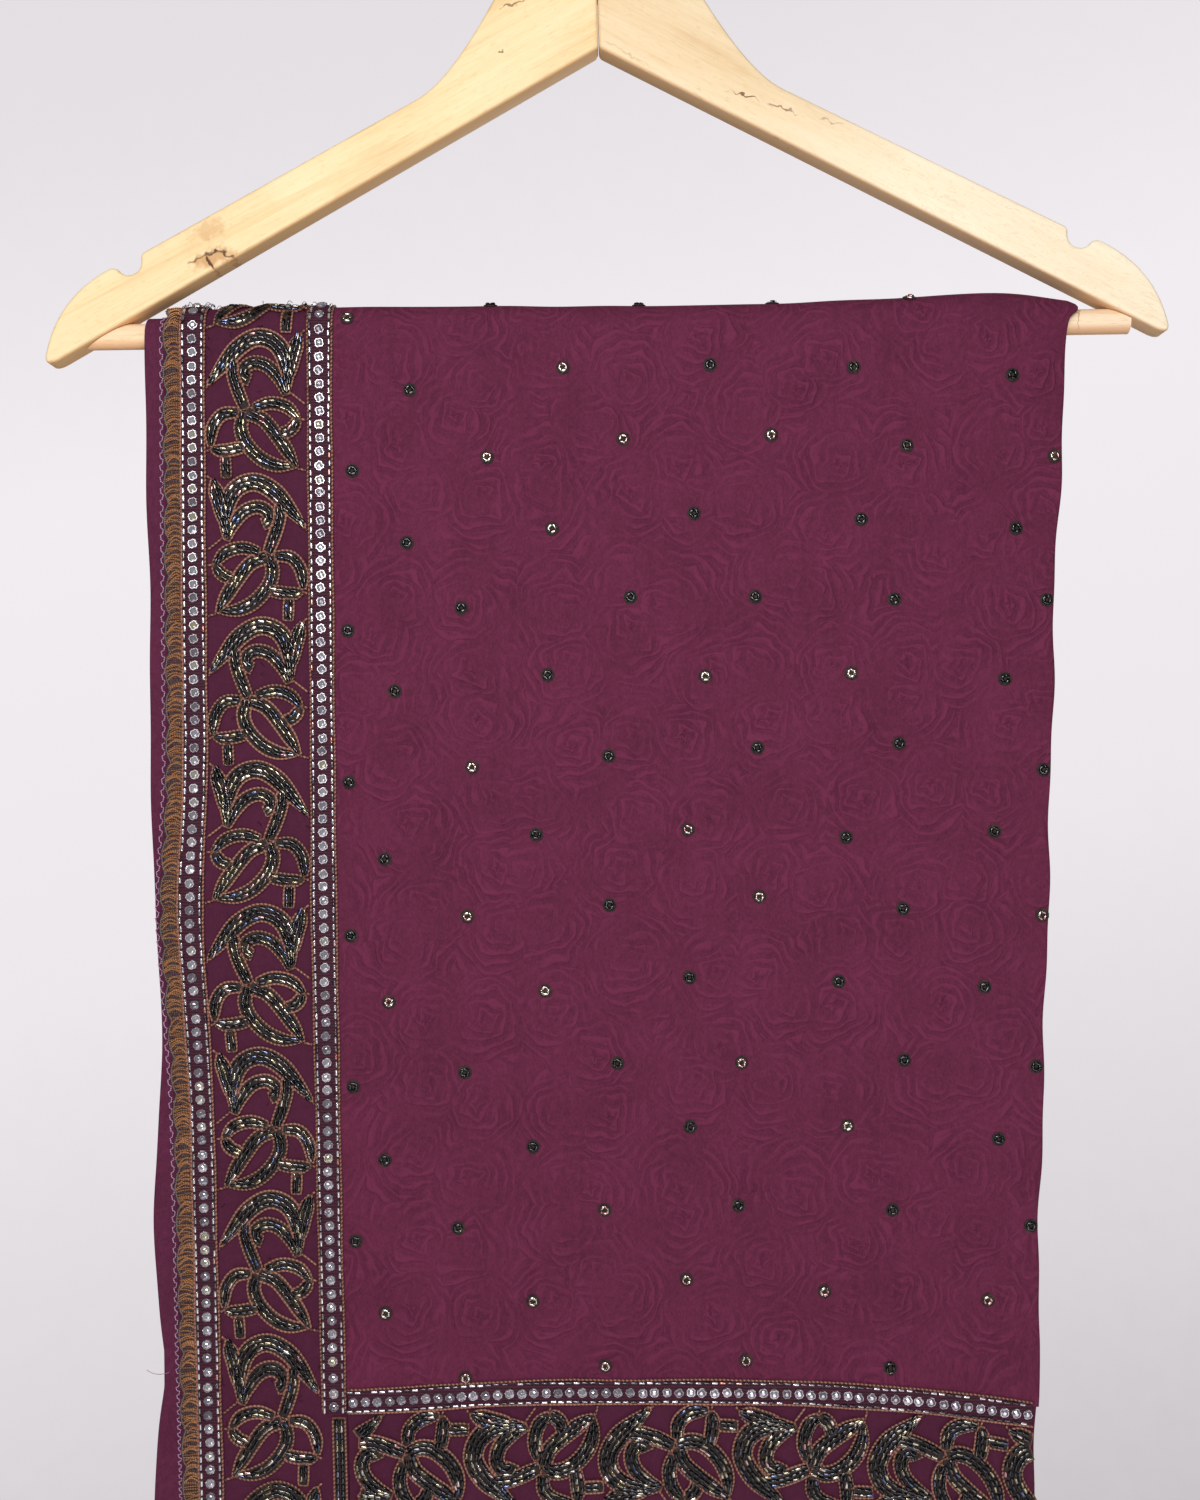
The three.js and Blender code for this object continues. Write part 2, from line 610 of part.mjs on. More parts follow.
function cutworkHem() {
  const wall = loft(HEM_STATIONS, hemStrip(LAYOUT.band, CUTWORK_WALL, flatStrip), alongHem(GAP / 2));
  const foot = HEM_BORDER_TOP_Z + LAYOUT.band.right - RAIL - REPEAT.width;
  return cutGaps(wall, {
    count: REPEATS.hem,
    mirrorFirst: false,
    pitch: REPEAT.hem,
    side: -1,
    toPlane: ({ across, along }) => {
      const x = FIRST_CREST.hemX + along;
      return [x, foot + across - droop(x)];
    },
    allowed: ({ along }) => along + FIRST_CREST.hemX > seamX(FIELD_DEPTH) + END_CLEAR.seam
      && along + FIRST_CREST.hemX < sides(FIELD_DEPTH, 'right') - END_CLEAR.fold,
  });
}

// ------------------------------------------------------------------- the whole part

const FINISHES = {
  birch: { color: 0xead0a2, roughness: 0.55, metalness: 0 },
  dowel: { color: 0xe8c79c, roughness: 0.6, metalness: 0 },
  steel: { color: 0xb9bcc2, roughness: 0.3, metalness: 1 },
  georgette: { color: 0x64304a, roughness: 0.9, metalness: 0 },
  backing: { color: 0x5c2a44, roughness: 0.9, metalness: 0 },
  plies: { color: 0x5a2a41, roughness: 0.9, metalness: 0 },
  beadwork: { color: 0x2a2428, roughness: 0.35, metalness: 0.3 },
  stones: { color: 0xc9c6cf, roughness: 0.2, metalness: 0.4 },
  thread: { color: 0x8d6136, roughness: 0.6, metalness: 0.2 },
};

const saree = new THREE.Group();

function add(group, name, finish, geometry) {
  geometry.computeVertexNormals();
  const mesh = new THREE.Mesh(geometry, new THREE.MeshStandardMaterial(FINISHES[finish]));
  mesh.name = name;
  group.add(mesh);
}

const hanger = new THREE.Group();
hanger.rotation.y = -radians(HANGER_TILT);
add(hanger, 'hanger_arm_left', 'birch', leftArm());
add(hanger, 'hanger_arm_right', 'birch', rightArm());
add(hanger, 'hanger_hook', 'steel', hook());
saree.add(hanger);
add(saree, 'hanger_bar', 'dowel', bar());

const hemBottom = frontLength + EDGING_WIDTH + HEM_STRIP;
const toHem = frontTo(hemBottom, hemZ(hemBottom - FIELD_DEPTH));
const pliesEnd = endOfDrop(-1, hemBottom, () => PLIES_FRONT_END_Z);
add(saree, 'saree_inner_plies', 'plies', loft(
  [pliesEnd, ...downTo(FIELD_DEPTH, -1).reverse(), ...OVER, ...backToFoot],
  pliesSection, alongSaree, closeFlat));

add(saree, 'saree_field_front', 'georgette', loft(
  frontTo(FIELD_DEPTH, hemZ(-GAP / 2)), fieldSection, alongSaree));
add(saree, 'saree_field_over_bar', 'georgette', loft(overBar, fieldSection, alongSaree));
add(saree, 'saree_field_back', 'georgette', loft(
  [...backToFoot, ...TUCK], fieldSection, alongSaree));

add(saree, 'border_backing_front', 'backing', loft(toHem, backingSection, alongSaree));
add(saree, 'border_backing_over_bar', 'backing', loft(overBar, backingSection, alongSaree));
add(saree, 'border_backing_back', 'backing', loft(
  [...backToFoot, ...TUCK], backingSection, alongSaree));
const hemBacking = () => {
  const [inner, outer] = [PLIES_OUTSIDE + GAP, PLIES_OUTSIDE + GAP + BACKING_WALL];
  const [top, foot] = [GAP / 2, hemBottom - FIELD_DEPTH];
  return [[top, outer], [top, inner], [foot, inner], [foot, outer]];
};
add(saree, 'border_backing_hem', 'backing', loft(HEM_STATIONS, hemBacking, alongHem(GAP / 2)));

add(saree, 'cutwork_front', 'beadwork', cutworkFront());
add(saree, 'cutwork_over_bar', 'beadwork', loft(
  overBar, sideStrip(LAYOUT.band, CUTWORK_WALL, flatStrip), alongSaree));
add(saree, 'cutwork_back', 'beadwork', cutworkBack());
add(saree, 'cutwork_hem', 'beadwork', cutworkHem());

const STONE_ROWS = [
  { name: 'inner', place: LAYOUT.innerRow, hemStart: GAP - FIRST_ROW },
  { name: 'outer', place: LAYOUT.outerRow, hemStart: LAYOUT.band.right - BAND_WIDTH },
];
for (const { name, place, hemStart } of STONE_ROWS) {
  const below = -place.right + ROW_WIDTH;
  add(saree, `stone_row_${name}_side`, 'stones', loft(
    [...frontTo(FIELD_DEPTH + below, hemZ(below)), ...OVER, ...backToFoot, ...FOOT],
    sideStrip(place, STONE_ROW_HEIGHT, domed), alongSaree));
  add(saree, `stone_row_${name}_hem`, 'stones', loft(
    HEM_STATIONS, hemStrip(place, STONE_ROW_HEIGHT, domed), alongHem(hemStart)));
}

const onFront = (along) => (along > 0
  ? { side: -1, depth: frontLength - along } : endOfDrop(-1, frontLength, hemZ(EDGING_END)));
const onBack = (along) => ({ side: 1, depth: along });
const plain = (station) => ({ ...station, bite: 0 });
add(saree, 'scallop_edging_side', 'thread', loft([
  ...scallopStations(frontLength, onFront), ...OVER.map(plain),
  ...scallopStations(FOOT_DEPTH - PLIES_MIDDLE, onBack), ...FOOT.map(plain),
], edgingSection, alongSaree));

const HEM_SCALLOPS = 24;
const hemEdging = Array.from({ length: HEM_SCALLOPS * SCALLOP_STEPS + 1 }, (_, step) => (
  { u: step / (HEM_SCALLOPS * SCALLOP_STEPS), bite: scallopBite(step) }));
const hemEdgingSection = ({ bite }) => flatStrip(
  EDGING_END + GAP, EDGING_END + GAP + EDGING_WIDTH - bite, EDGING_HEIGHT);
const alongHemEdging = alongHem(LAYOUT.outerRow.right - ROW_WIDTH - EDGING_WIDTH);
add(saree, 'scallop_edging_hem', 'thread', loft(
  hemEdging, hemEdgingSection, (below, { u }, radius) => alongHemEdging(below, u, radius)));

export default saree;
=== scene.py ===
"""An embellished saree, folded and hung over the bar of a wooden hanger.

The lie of the cloth is worked out in millimetres by lie(), from the same sizes as its solids,
and every thread, bead and stone is set on it through that one function. A place along the
saree is its run: 0 at the front of the bar, negative down the front, and OVER_BAR at the back.
"""

import math

import bmesh
import bpy
import numpy as np
from bpy.props import FloatProperty, FloatVectorProperty, PointerProperty
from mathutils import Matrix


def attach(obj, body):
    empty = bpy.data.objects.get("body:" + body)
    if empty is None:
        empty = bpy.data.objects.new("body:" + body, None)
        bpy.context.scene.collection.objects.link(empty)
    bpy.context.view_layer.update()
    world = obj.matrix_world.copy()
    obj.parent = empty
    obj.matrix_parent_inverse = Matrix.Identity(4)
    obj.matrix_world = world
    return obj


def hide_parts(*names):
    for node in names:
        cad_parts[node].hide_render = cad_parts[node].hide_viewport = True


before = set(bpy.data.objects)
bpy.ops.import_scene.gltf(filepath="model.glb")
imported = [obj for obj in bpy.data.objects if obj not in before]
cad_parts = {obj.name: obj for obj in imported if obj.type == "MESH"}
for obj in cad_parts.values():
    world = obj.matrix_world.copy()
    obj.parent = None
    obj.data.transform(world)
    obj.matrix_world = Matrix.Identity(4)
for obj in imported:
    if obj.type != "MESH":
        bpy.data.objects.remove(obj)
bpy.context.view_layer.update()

bl_info = {
    "name": "Embellished saree on a hanger",
    "version": (1, 0, 0),
    "blender": (4, 5, 0),
    "location": "3D View > Sidebar > Saree",
    "description": "Builds a folded, bead-bordered saree hung over a wooden hanger",
    "category": "Object",
}

MM = 0.001

# ------------------------------------------------------------ sizes of the hung cloth, in mm

BAR_CENTRE_Z = -230.4
BAR_TILT = math.radians(0.9)
BAR_RADIUS = 5.0
PLIES_INSIDE = 5.3
PLIES_OUTSIDE = 8.1
PLIES_MIDDLE = (PLIES_INSIDE + PLIES_OUTSIDE) / 2
PLIES_FRONT_END_Z = -717.0
BACKING_TOP = 9.4  # radius of the outer face of the border's backing
FIELD_TOP = 9.6
BORDER_RADIUS = 9.7
OVER_BAR = math.pi * BORDER_RADIUS
HEM_TOP_Z = -647.2
FIELD_DEPTH = BAR_CENTRE_Z - HEM_TOP_Z
FOOT_FOLD_Z = -745.0
FOOT_DEPTH = BAR_CENTRE_Z - FOOT_FOLD_Z - PLIES_MIDDLE
FOOT_RUN = OVER_BAR + FOOT_DEPTH
TUCK_ARC = 8.0
TUCK_END = FOOT_RUN + TUCK_ARC + 9.0
HALF_CLOTH = 0.15  # half the thickness of one layer
CLOSING = 2.4
CLOSING_DEPTH = 220.0
SWAY = {"by": 0.9, "at_depth": 500.0, "length": 320.0, "shift": 60.0}
CREST_DEPTH = 60.0
HEM_BLEND = 9.0  # over these depths the cloth takes up the line of its hem, or of its foot
FOOT_BLEND = 28.0
CALM_AT_FOOT = 30.0
# Soft unevenness: how deep, and its wave lengths over 2 pi across and down the cloth.
RIPPLE = {"slow": 0.22, "across": 17.0, "down": 43.0, "bend": 0.6, "bend_down": 60.0, "drift": 90.0,
          "fine": 0.12, "fine_across": 7.3, "fine_down": 31.0}
# Flutter of the two edges: how far, and wave length over 2 pi.
FLUTTER = {"left": ((0.35, 23.0), (0.2, 9.1)), "right": ((0.55, 13.5), (0.3, 6.1))}
FLICK = {"by": 3.8, "run": 6.0, "length": 3.2}  # of the right-hand corner at the bar

# Edges of the bundle down the drop: depth, left edge, right edge, drift of the border.
SIDES = [
    (0, -175.5, 188.4, 0),
    (25, -174.4, 186.6, 0),
    (60, -174.8, 184.8, 0.2),
    (100, -173.8, 182.8, 0.5),
    (150, -173.6, 181.8, 0.8),
    (220, -172.2, 180.6, 1.5),
    (290, -168.6, 178.7, 2.6),
    (350, -172.4, 176.9, 3.6),
    (412, -169.6, 176.2, 5),
    (450, -171.4, 176, 6.1),
    (500, -171.7, 176, 7),
    (560, -171.7, 176, 7),
]
# How loosely the plies lie over the bar: x, lift.
CREST = [
    (-180, 0.8), (-100, 0.8), (-40, 0.2), (20, -0.8), (55, -0.8), (90, 0.1), (130, 0.8), (150, 2),
    (168, 2.8), (180, 1), (192, -2.4)]
DROOP_LEFT = {"start": -10.0, "length": 100.0, "by": 3.6}
DROOP_RIGHT = {"start": 60.0, "length": 116.0, "by": 8.6}

EASE = {"left": 0.9, "right": 1.0}  # how far the soft edges lie outside the table

# How much the side border is drawn in (-) or let out (+) down the drop: depth, share.
DRAW = [
    (0, -0.02), (80, -0.016), (165, -0.015), (192, 0), (212, 0.03), (235, 0.04), (256, 0.018),
    (280, -0.006), (310, -0.028), (400, -0.034), (560, -0.034)]
# Shallow creases left by folding: centre x and run, half length and width, depth, lean.
CREASES = [
    (62, -205, 190, 9, 0.55, 0.02),
    (-18, -150, 120, 14, 0.35, -0.05),
    (128, -300, 130, 12, 0.45, 0.06),
    (24, -360, 90, 10, 0.3, -0.12),
    (-62, -310, 110, 13, 0.35, 0.08),
    (150, -90, 70, 9, 0.4, -0.16),
    (95, -30, 46, 8, 0.5, 0.22),
    (-40, -22, 40, 9, 0.4, -0.18),
    (70, 250, 210, 11, 0.55, -0.03),
    (-30, 330, 150, 13, 0.4, 0.06),
    (135, 430, 100, 10, 0.45, 0.1),
    (10, 120, 90, 12, 0.35, -0.1),
    (-90, -262, 34, 4.5, 0.6, -0.05),
    (-84, -120, 40, 6, 0.35, 0.1),
]

# ---------------------------------------------------- the border, in mm across from the seam

SEAM_X = -101.3
INNER_ROW = -5.2
OUTER_ROW = -56.2
BAND_EDGE = -50.2  # outer rail of the cutwork
BAND_WIDTH = 39.0
EDGING = {"outer": -66.9, "inner": -60.8, "pitch": 14.6, "bite": 2.1}
STRIP_STEP = {"low": -68.9, "high": -66.1, "drop": 2.8}
ZIGZAG_LINE = -69.7
HEM_END = 74.7  # below the hem border's top
HEM_CLEAR = 1.0
EDGE_NICK = {"depth": 412.0, "length": 11.0, "by": 2.2}

REPEAT = {"side": 56.6, "hem": 53.2}
BROADER = {"side": 1.0, "hem": 1.2}  # the strokes of each border
LANE = 2.0  # width of stroke for each row of beads
FIRST_CREST = {"side": 2.0, "hem_x": -101.0}
SIDE_REPEATS = range(-10, 9)
HEM_REPEATS = range(0, 6)

# Strokes of one half-repeat, in mm: across from the outer rail, down from the crest.
STROKES = [
    {"name": "crescent", "width": 6.2, "ends": (0.15, 0.1), "line": [
        (6.9, 24), (6.8, 15.5), (8.6, 7.9), (12.9, 3.2), (19.4, 1.9), (26.4, 5.6), (32.6, 12.4),
        (38.6, 19.6)]},
    {"name": "inner hook", "width": 4.5, "ends": (0.3, 0.9), "line": [
        (7.6, 24.6), (9.9, 18.4), (14.6, 13.2), (20, 11.6), (23.9, 13.6), (24.4, 17),
        (21.9, 18.4)]},
    {"name": "stem", "width": 4.3, "ends": (0.8, 0.8), "line": [
        (28.9, 10.5), (28.6, 15.9), (27, 21.6), (23.8, 29.6)]},
    {"name": "pointed leaf", "width": 5.2, "ends": (0.7, 0.1), "line": [
        (6.6, 17.5), (4.6, 9.6), (1.8, 0.6)]},
    {"name": "large leaf, outer side", "width": 4.8, "ends": (0.9, 0.12), "line": [
        (23.4, 31.3), (16.6, 34), (10.9, 40.8), (6.8, 46.8), (3.2, 52.9)]},
    {"name": "large leaf, inner side", "width": 4.8, "ends": (0.3, 0.9), "line": [
        (4.6, 52.4), (11.5, 52), (18, 49), (23.7, 42.8), (25.6, 36.6), (23.8, 31.2)]},
    {"name": "outer leaf, upper side", "width": 4.2, "ends": (0.7, 0.4), "line": [
        (20.4, 29.4), (13.5, 27.6), (6.9, 29.3), (2.6, 33.8)]},
    {"name": "outer leaf, lower side", "width": 4.2, "ends": (0.5, 0.8), "line": [
        (2.6, 34.2), (5.6, 38.2), (9.7, 39.6)]},
    {"name": "inner leaf, outer side", "width": 4.2, "ends": (0.7, 0.3), "line": [
        (26.6, 31), (33, 31.7), (37, 36.9), (37.9, 44.2)]},
    {"name": "inner leaf, lower side", "width": 4.2, "ends": (0.3, 0.8), "line": [
        (37.4, 45.3), (32.6, 45.9), (24.6, 44.6)]},
    {"name": "connector", "width": 3.4, "ends": (0.9, 0.9), "line": [
        (32, 47.8), (31.6, 56.4)]},
]
ROSE = {"cell": 0.029, "petal": 0.0038}  # in metres, on the cloth's own map
BRIDGES = [  # cords that tie the strokes to the rails
    [(2.8, 53.4), (-0.3, 54.2)],
    [(38.2, 18.4), (39.4, 21.2)],
    [(37.6, 45.2), (39.4, 45.9)],
    [(2.2, 33.8), (-0.4, 34.4)],
    [(1.4, 0.4), (-0.3, -0.9)],
    [(5.6, 23.6), (-0.3, 28.2)],
]
CORNER_BAR = {"across": -3.4, "top": 11.5, "foot": 50.0, "width": 4.4}

# ------------------------------------------------------------ hanger, in mm in its own frame

HANGER = {
    "tilt": math.radians(1.65),
    "corner_z": -120.0,
    "slope": math.tan(math.radians(28.4)),
    "thickness": 12.0,
    "joint": 0.3,
    "hub_top": 44.5,
}
ARM_TOP = [  # control point and end of each curve from the hub down to the notch
    ((27, 44.5), (42, 19)),
    ((59.9, -11.5), (72.6, -18.1)),
]
NOTCH = {"x": 188.9, "z": -79.6, "radius": 5.0, "inner_z": -76.3, "outer_angle": -35}
ARM_TIP = [
    ((194.8, -81.2), (197.2, -82.2)),
    ((218, -93), (222.8, -115.2)),
    ((223.8, -120.4), (217.6, -217.6 * math.tan(math.radians(28.4)))),
]
HOOK = {"wire": 3.8, "inside": 19.0, "tip": 205, "bend": -35, "shank_end": -99.5}
BAR = {"left": -206.0, "right": 215.0, "ring_x": 194.0, "clear": 0.3}

rng = np.random.default_rng(7)


def srgb(red, green, blue):
    """A colour given in 0 to 255 as Blender's linear values."""
    share = [c / 255 for c in (red, green, blue)]
    return tuple(c / 12.92 if c <= 0.04045 else ((c + 0.055) / 1.055) ** 2.4 for c in share)


# ---------------------------------------------------------------------------- properties


def length(title, about, default):
    return FloatProperty(
        name=title, description=about, default=default, min=0, unit="LENGTH", precision=5)


def power(title, about, default):
    return FloatProperty(name=title, description=about, default=default, min=0, unit="POWER")


def colour(title, about, *value):
    return FloatVectorProperty(
        name=title, description=about, default=srgb(*value), subtype="COLOR", min=0, max=1)


class SareeSizes(bpy.types.PropertyGroup):
    """Sizes of cloth, beads and threads."""

    cloth: length("Cloth thickness", "One layer of georgette", 0.0003)
    bugle_length: length("Bugle bead length", "Length of a dark bugle bead", 0.0023)
    bugle_width: length("Bugle bead width", "Thickness of a dark bugle bead", 0.0016)
    seed_length: length("Silver bead length", "Length of a silver bead", 0.0021)
    seed_width: length("Silver bead width", "Thickness of a silver bead", 0.0011)
    stone: length("Stone diameter", "Across a faceted stone", 0.0034)
    side_pitch: length("Stone pitch, side", "Between stones of the side rows", 0.00535)
    hem_pitch: length("Stone pitch, hem", "Between stones of the hem rows", 0.00475)
    cord: length("Cord thickness", "Copper cord round the cutwork", 0.00098)
    stitch: length("Stitch spacing", "Between stitches of the scallop edging", 0.0008)
    cluster: length("Cluster width", "Across a ring of scattered beads", 0.0061)


class SareeColours(bpy.types.PropertyGroup):
    """Colours of cloth, thread and wood."""

    wine: colour("Wine", "Georgette of the field", 88, 32, 56)
    border: colour("Border wine", "Cloth behind the border", 82, 32, 56)
    copper: colour("Copper", "Cord round the cutwork", 142, 98, 83)
    bronze: colour("Bronze", "Thread of the scallop edging", 172, 122, 84)
    mauve: colour("Mauve", "Zigzag stitching", 186, 150, 176)
    birch: colour("Birch", "Arms of the hanger", 248, 226, 184)
    dowel: colour("Dowel", "Bar of the hanger", 245, 216, 182)


class StageSettings(bpy.types.PropertyGroup):
    """Camera, light and backdrop."""

    distance: length("Camera distance", "From the camera to the cloth", 0.6468)
    lens: FloatProperty(name="Lens", description="Focal length", default=39.3, unit="CAMERA")
    key_power: power("Key light", "Soft light from the upper left", 6.6)
    fill_power: power("Fill light", "Soft light from the right", 5)
    back_power: power("Back light", "Soft light behind the hanger", 9)
    front_power: power("Front light", "Softbox above the camera", 5.6)
    glint_power: power("Glint lights", "Small lights seen in the beads", 0.45)
    backdrop: colour("Backdrop", "Pale ground behind the saree", 239, 234, 238)
    ambient: FloatProperty(
        name="Ambient", description="Light from all round", default=0.34, min=0, max=4)
    floor_drop: length("Floor", "From the rail down to the floor", 0.9)


def sizes_mm():
    """The sizes of beads and threads, in millimetres."""
    group = bpy.context.scene.saree_sizes
    return {name: getattr(group, name) / MM for name in SareeSizes.__annotations__}


def colours():
    return bpy.context.scene.saree_colours


# -------------------------------------------------------------------- how the cloth hangs


def smoothstep(t):
    t = np.clip(t, 0, 1)
    return t * t * (3 - 2 * t)


def rounded_table(rows, column, softness=9):
    """A table's column at every millimetre, with its corners rounded."""
    table = np.array(rows, float)
    at = np.arange(table[0, 0], table[-1, 0] + 1)
    values = np.interp(at, table[:, 0], table[:, column])
    weights = np.exp(-0.5 * (np.arange(-3 * softness, 3 * softness + 1) / softness) ** 2)
    padded = np.pad(values, 3 * softness, mode="edge")
    return at, np.convolve(padded, weights / weights.sum(), mode="valid")


LEFT, RIGHT, DRIFT = (rounded_table(SIDES, column) for column in (1, 2, 3))
LIFT = rounded_table(CREST, 1)
DRAWN = rounded_table(DRAW, 1)


def look_up(table, at):
    return np.interp(at, table[0], table[1])


def bar_z(x):
    return BAR_CENTRE_Z + x * math.tan(BAR_TILT)


def droop(x):
    left = DROOP_LEFT["by"] * smoothstep((DROOP_LEFT["start"] - x) / DROOP_LEFT["length"])
    right = np.clip((x - DROOP_RIGHT["start"]) / DROOP_RIGHT["length"], 0, None)
    return left + DROOP_RIGHT["by"] * right**2


def depth_at(run):
    """How far below the bar's middle a place lies."""
    return np.where(run <= 0, -run, np.clip(run - OVER_BAR, 0, FOOT_DEPTH))


def creases(x, run):
    total = 0.0
    for centre_x, centre_run, long, wide, deep, lean in CREASES:
        along = (run - centre_run) / long
        aside = (x - centre_x - lean * (run - centre_run)) / wide
        total = total + deep * np.exp(-0.5 * aside**2) * smoothstep(1.15 - np.abs(along))
    return total


def ripple(x, run):
    """Soft unevenness of the hanging cloth, outwards."""
    r = RIPPLE
    bend = r["bend"] * np.sin(run / r["bend_down"])
    slow = r["slow"] * np.sin(x / r["across"] + bend) * np.sin(run / r["down"] + x / r["drift"])
    fine = r["fine"] * np.sin(x / r["fine_across"] + run / r["fine_down"])
    return slow + fine - creases(x, run)


def lie(x, run, radius):
    """Points of the hung saree in mm: radius is measured out from the bar's middle."""
    x, run, radius = np.broadcast_arrays(*(np.asarray(v, float) for v in (x, run, radius)))
    on_front, on_back = run <= 0, run >= OVER_BAR
    depth = depth_at(run)
    outwards = np.clip((radius - PLIES_INSIDE) / (PLIES_OUTSIDE - PLIES_INSIDE), 0, 1)
    loose = look_up(LIFT, x) * outwards * np.clip(1 - depth / CREST_DEPTH, 0, 1)
    calm = smoothstep(outwards) * smoothstep((FOOT_RUN - run) / CALM_AT_FOOT)
    out = radius + loose - CLOSING * smoothstep(depth / CLOSING_DEPTH) + ripple(x, run) * calm
    swing = np.sin(2 * math.pi * (x + SWAY["shift"]) / SWAY["length"])
    turn = np.clip(run / OVER_BAR, 0, 1) * math.pi
    y = SWAY["by"] * (depth / SWAY["at_depth"]) * swing - out * np.cos(turn)
    z = bar_z(x) - depth + out * np.sin(turn) * (~on_front & ~on_back)
    hem_z = HEM_TOP_Z - (depth - FIELD_DEPTH) - droop(x)
    z = z + on_front * np.clip((depth - FIELD_DEPTH + HEM_BLEND) / HEM_BLEND, 0, 1) * (hem_z - z)
    foot_z = BAR_CENTRE_Z - depth
    z = z + on_back * np.clip((depth - FOOT_DEPTH + FOOT_BLEND) / FOOT_BLEND, 0, 1) * (foot_z - z)
    tuck = np.clip((run - FOOT_RUN) / TUCK_ARC, 0, 1) * math.pi
    lever = radius - PLIES_MIDDLE
    y = y - lever * (1 - np.cos(tuck))
    z = z - lever * np.sin(tuck) + np.clip(run - FOOT_RUN - TUCK_ARC, 0, None)
    return np.stack([x, y, z], axis=-1)


def seam_x(run):
    return SEAM_X + look_up(DRIFT, depth_at(run))


def border_x(across, run):
    """x of a place on the side border, which is drawn in a little here and there."""
    return seam_x(run) + across * (1 + look_up(DRAWN, depth_at(run)))


def bump_at(place, middle, length):
    """A smooth hump: 1 at its middle, and gone a few lengths away."""
    return np.exp(-0.5 * ((place - middle) / length) ** 2)


def flutter(side, run):
    return sum(by * np.sin(run / length) for by, length in FLUTTER[side])


def left_x(run):
    depth = depth_at(run)
    nick = bump_at(depth, EDGE_NICK["depth"], EDGE_NICK["length"]) * (run < 0)
    return look_up(LEFT, depth) - EASE["left"] + EDGE_NICK["by"] * nick + flutter("left", run)


def right_x(run):
    """The right-hand fold, with the corner that flicks up at the bar."""
    flick = FLICK["by"] * bump_at(run, FLICK["run"], FLICK["length"])
    return look_up(RIGHT, depth_at(run)) + EASE["right"] + flick + flutter("right", run)


def on_side(across, run, height):
    """A place on the side border: across from the seam, height above the border's ground."""
    return lie(border_x(across, run), run, BORDER_RADIUS + height)


def hem_run(below):
    return -(FIELD_DEPTH + np.asarray(below, float))


def on_hem(x, below, height):
    """A place on the border along the pallu end, below that border's top."""
    return lie(x, hem_run(below), BORDER_RADIUS + height)


def hem_start(below):
    return seam_x(hem_run(below))


def hem_stop(below):
    return right_x(hem_run(below)) - HEM_CLEAR


def down_side(foot, middle=0.0):
    """Places on a line of the side border: t up from its foot, aside of its middle."""
    return lambda t, aside, height: on_side(middle + aside, foot + t, height)


def along_hem(first, middle=0.0):
    """Places on a line of the hem's border: t along from its start, aside of its middle."""
    return lambda t, aside, height: on_hem(first + t, middle - aside, height)


# ----------------------------------------------------------------------- mesh building


class Shape:
    """Points in mm, faces as a flat list of corners with the size of each face."""

    def __init__(self, points, corners, counts, tone=None, uv=None):
        self.points = np.asarray(points, float).reshape(-1, 3)
        self.corners = np.asarray(corners, np.int32).ravel()
        self.counts = np.asarray(counts, np.int32).ravel()
        self.tone = np.zeros(len(self.points)) if tone is None else np.asarray(tone, float)
        self.uv = np.zeros((len(self.points), 2)) if uv is None else np.asarray(uv, float)


def joined(shapes):
    starts = np.cumsum([0] + [len(s.points) for s in shapes[:-1]])
    return Shape(
        np.concatenate([s.points for s in shapes]),
        np.concatenate([s.corners + start for s, start in zip(shapes, starts)]),
        np.concatenate([s.counts for s in shapes]),
        np.concatenate([s.tone for s in shapes]),
        np.concatenate([s.uv for s in shapes]),
    )


def quads_between(rows, columns, closed=False):
    """Corners of the quads of a grid of points, which may close on itself across."""
    steps = columns if closed else columns - 1
    row, column = np.meshgrid(np.arange(rows - 1), np.arange(steps), indexing="ij")
    low = row * columns + column
    high = row * columns + (column + 1) % columns
    return np.stack([low, high, high + columns, low + columns], axis=-1).reshape(-1, 4)


def shell(outer, inner, uv):
    """A closed thin wall between two grids of points."""
    rows, columns = outer.shape[:2]
    count = rows * columns
    face = quads_between(rows, columns)
    rim = np.concatenate([
        np.arange(columns),
        np.arange(1, rows) * columns + columns - 1,
        (rows - 1) * columns + np.arange(columns - 2, -1, -1),
        np.arange(rows - 2, 0, -1) * columns,
    ])
    after = np.roll(rim, -1)
    edge = np.stack([after, rim, rim + count, after + count], axis=-1)
    corners = np.concatenate([face, face[:, ::-1] + count, edge])
    points = np.concatenate([outer.reshape(-1, 3), inner.reshape(-1, 3)])
    flat = np.concatenate([uv.reshape(-1, 2)] * 2)
    return faced_out(Shape(points, corners, np.full(len(corners), 4), uv=flat))


def faced_out(shape):
    """Turns every face of a closed shape if they point inwards."""
    ends = np.cumsum(shape.counts)
    triangles = []
    for k in range(1, shape.counts.max() - 1):
        starts = (ends - shape.counts)[shape.counts > k + 1]
        triangles.append(np.stack([shape.corners[starts + step] for step in (0, k, k + 1)], -1))
    triangles = np.concatenate(triangles)
    a, b, c = (shape.points[triangles[:, k]] for k in range(3))
    if np.einsum("ij,ij->i", a, np.cross(b, c)).sum() < 0:
        turned = [shape.corners[end - n:end][::-1] for end, n in zip(ends, shape.counts)]
        shape.corners = np.concatenate(turned)
    return shape


def travelled(path):
    """How far along a path each of its points lies."""
    return np.concatenate([[0], np.cumsum(np.linalg.norm(np.diff(path, axis=0), axis=1))])


def unit(v):
    return v / np.maximum(np.linalg.norm(v, axis=-1, keepdims=True), 1e-9)


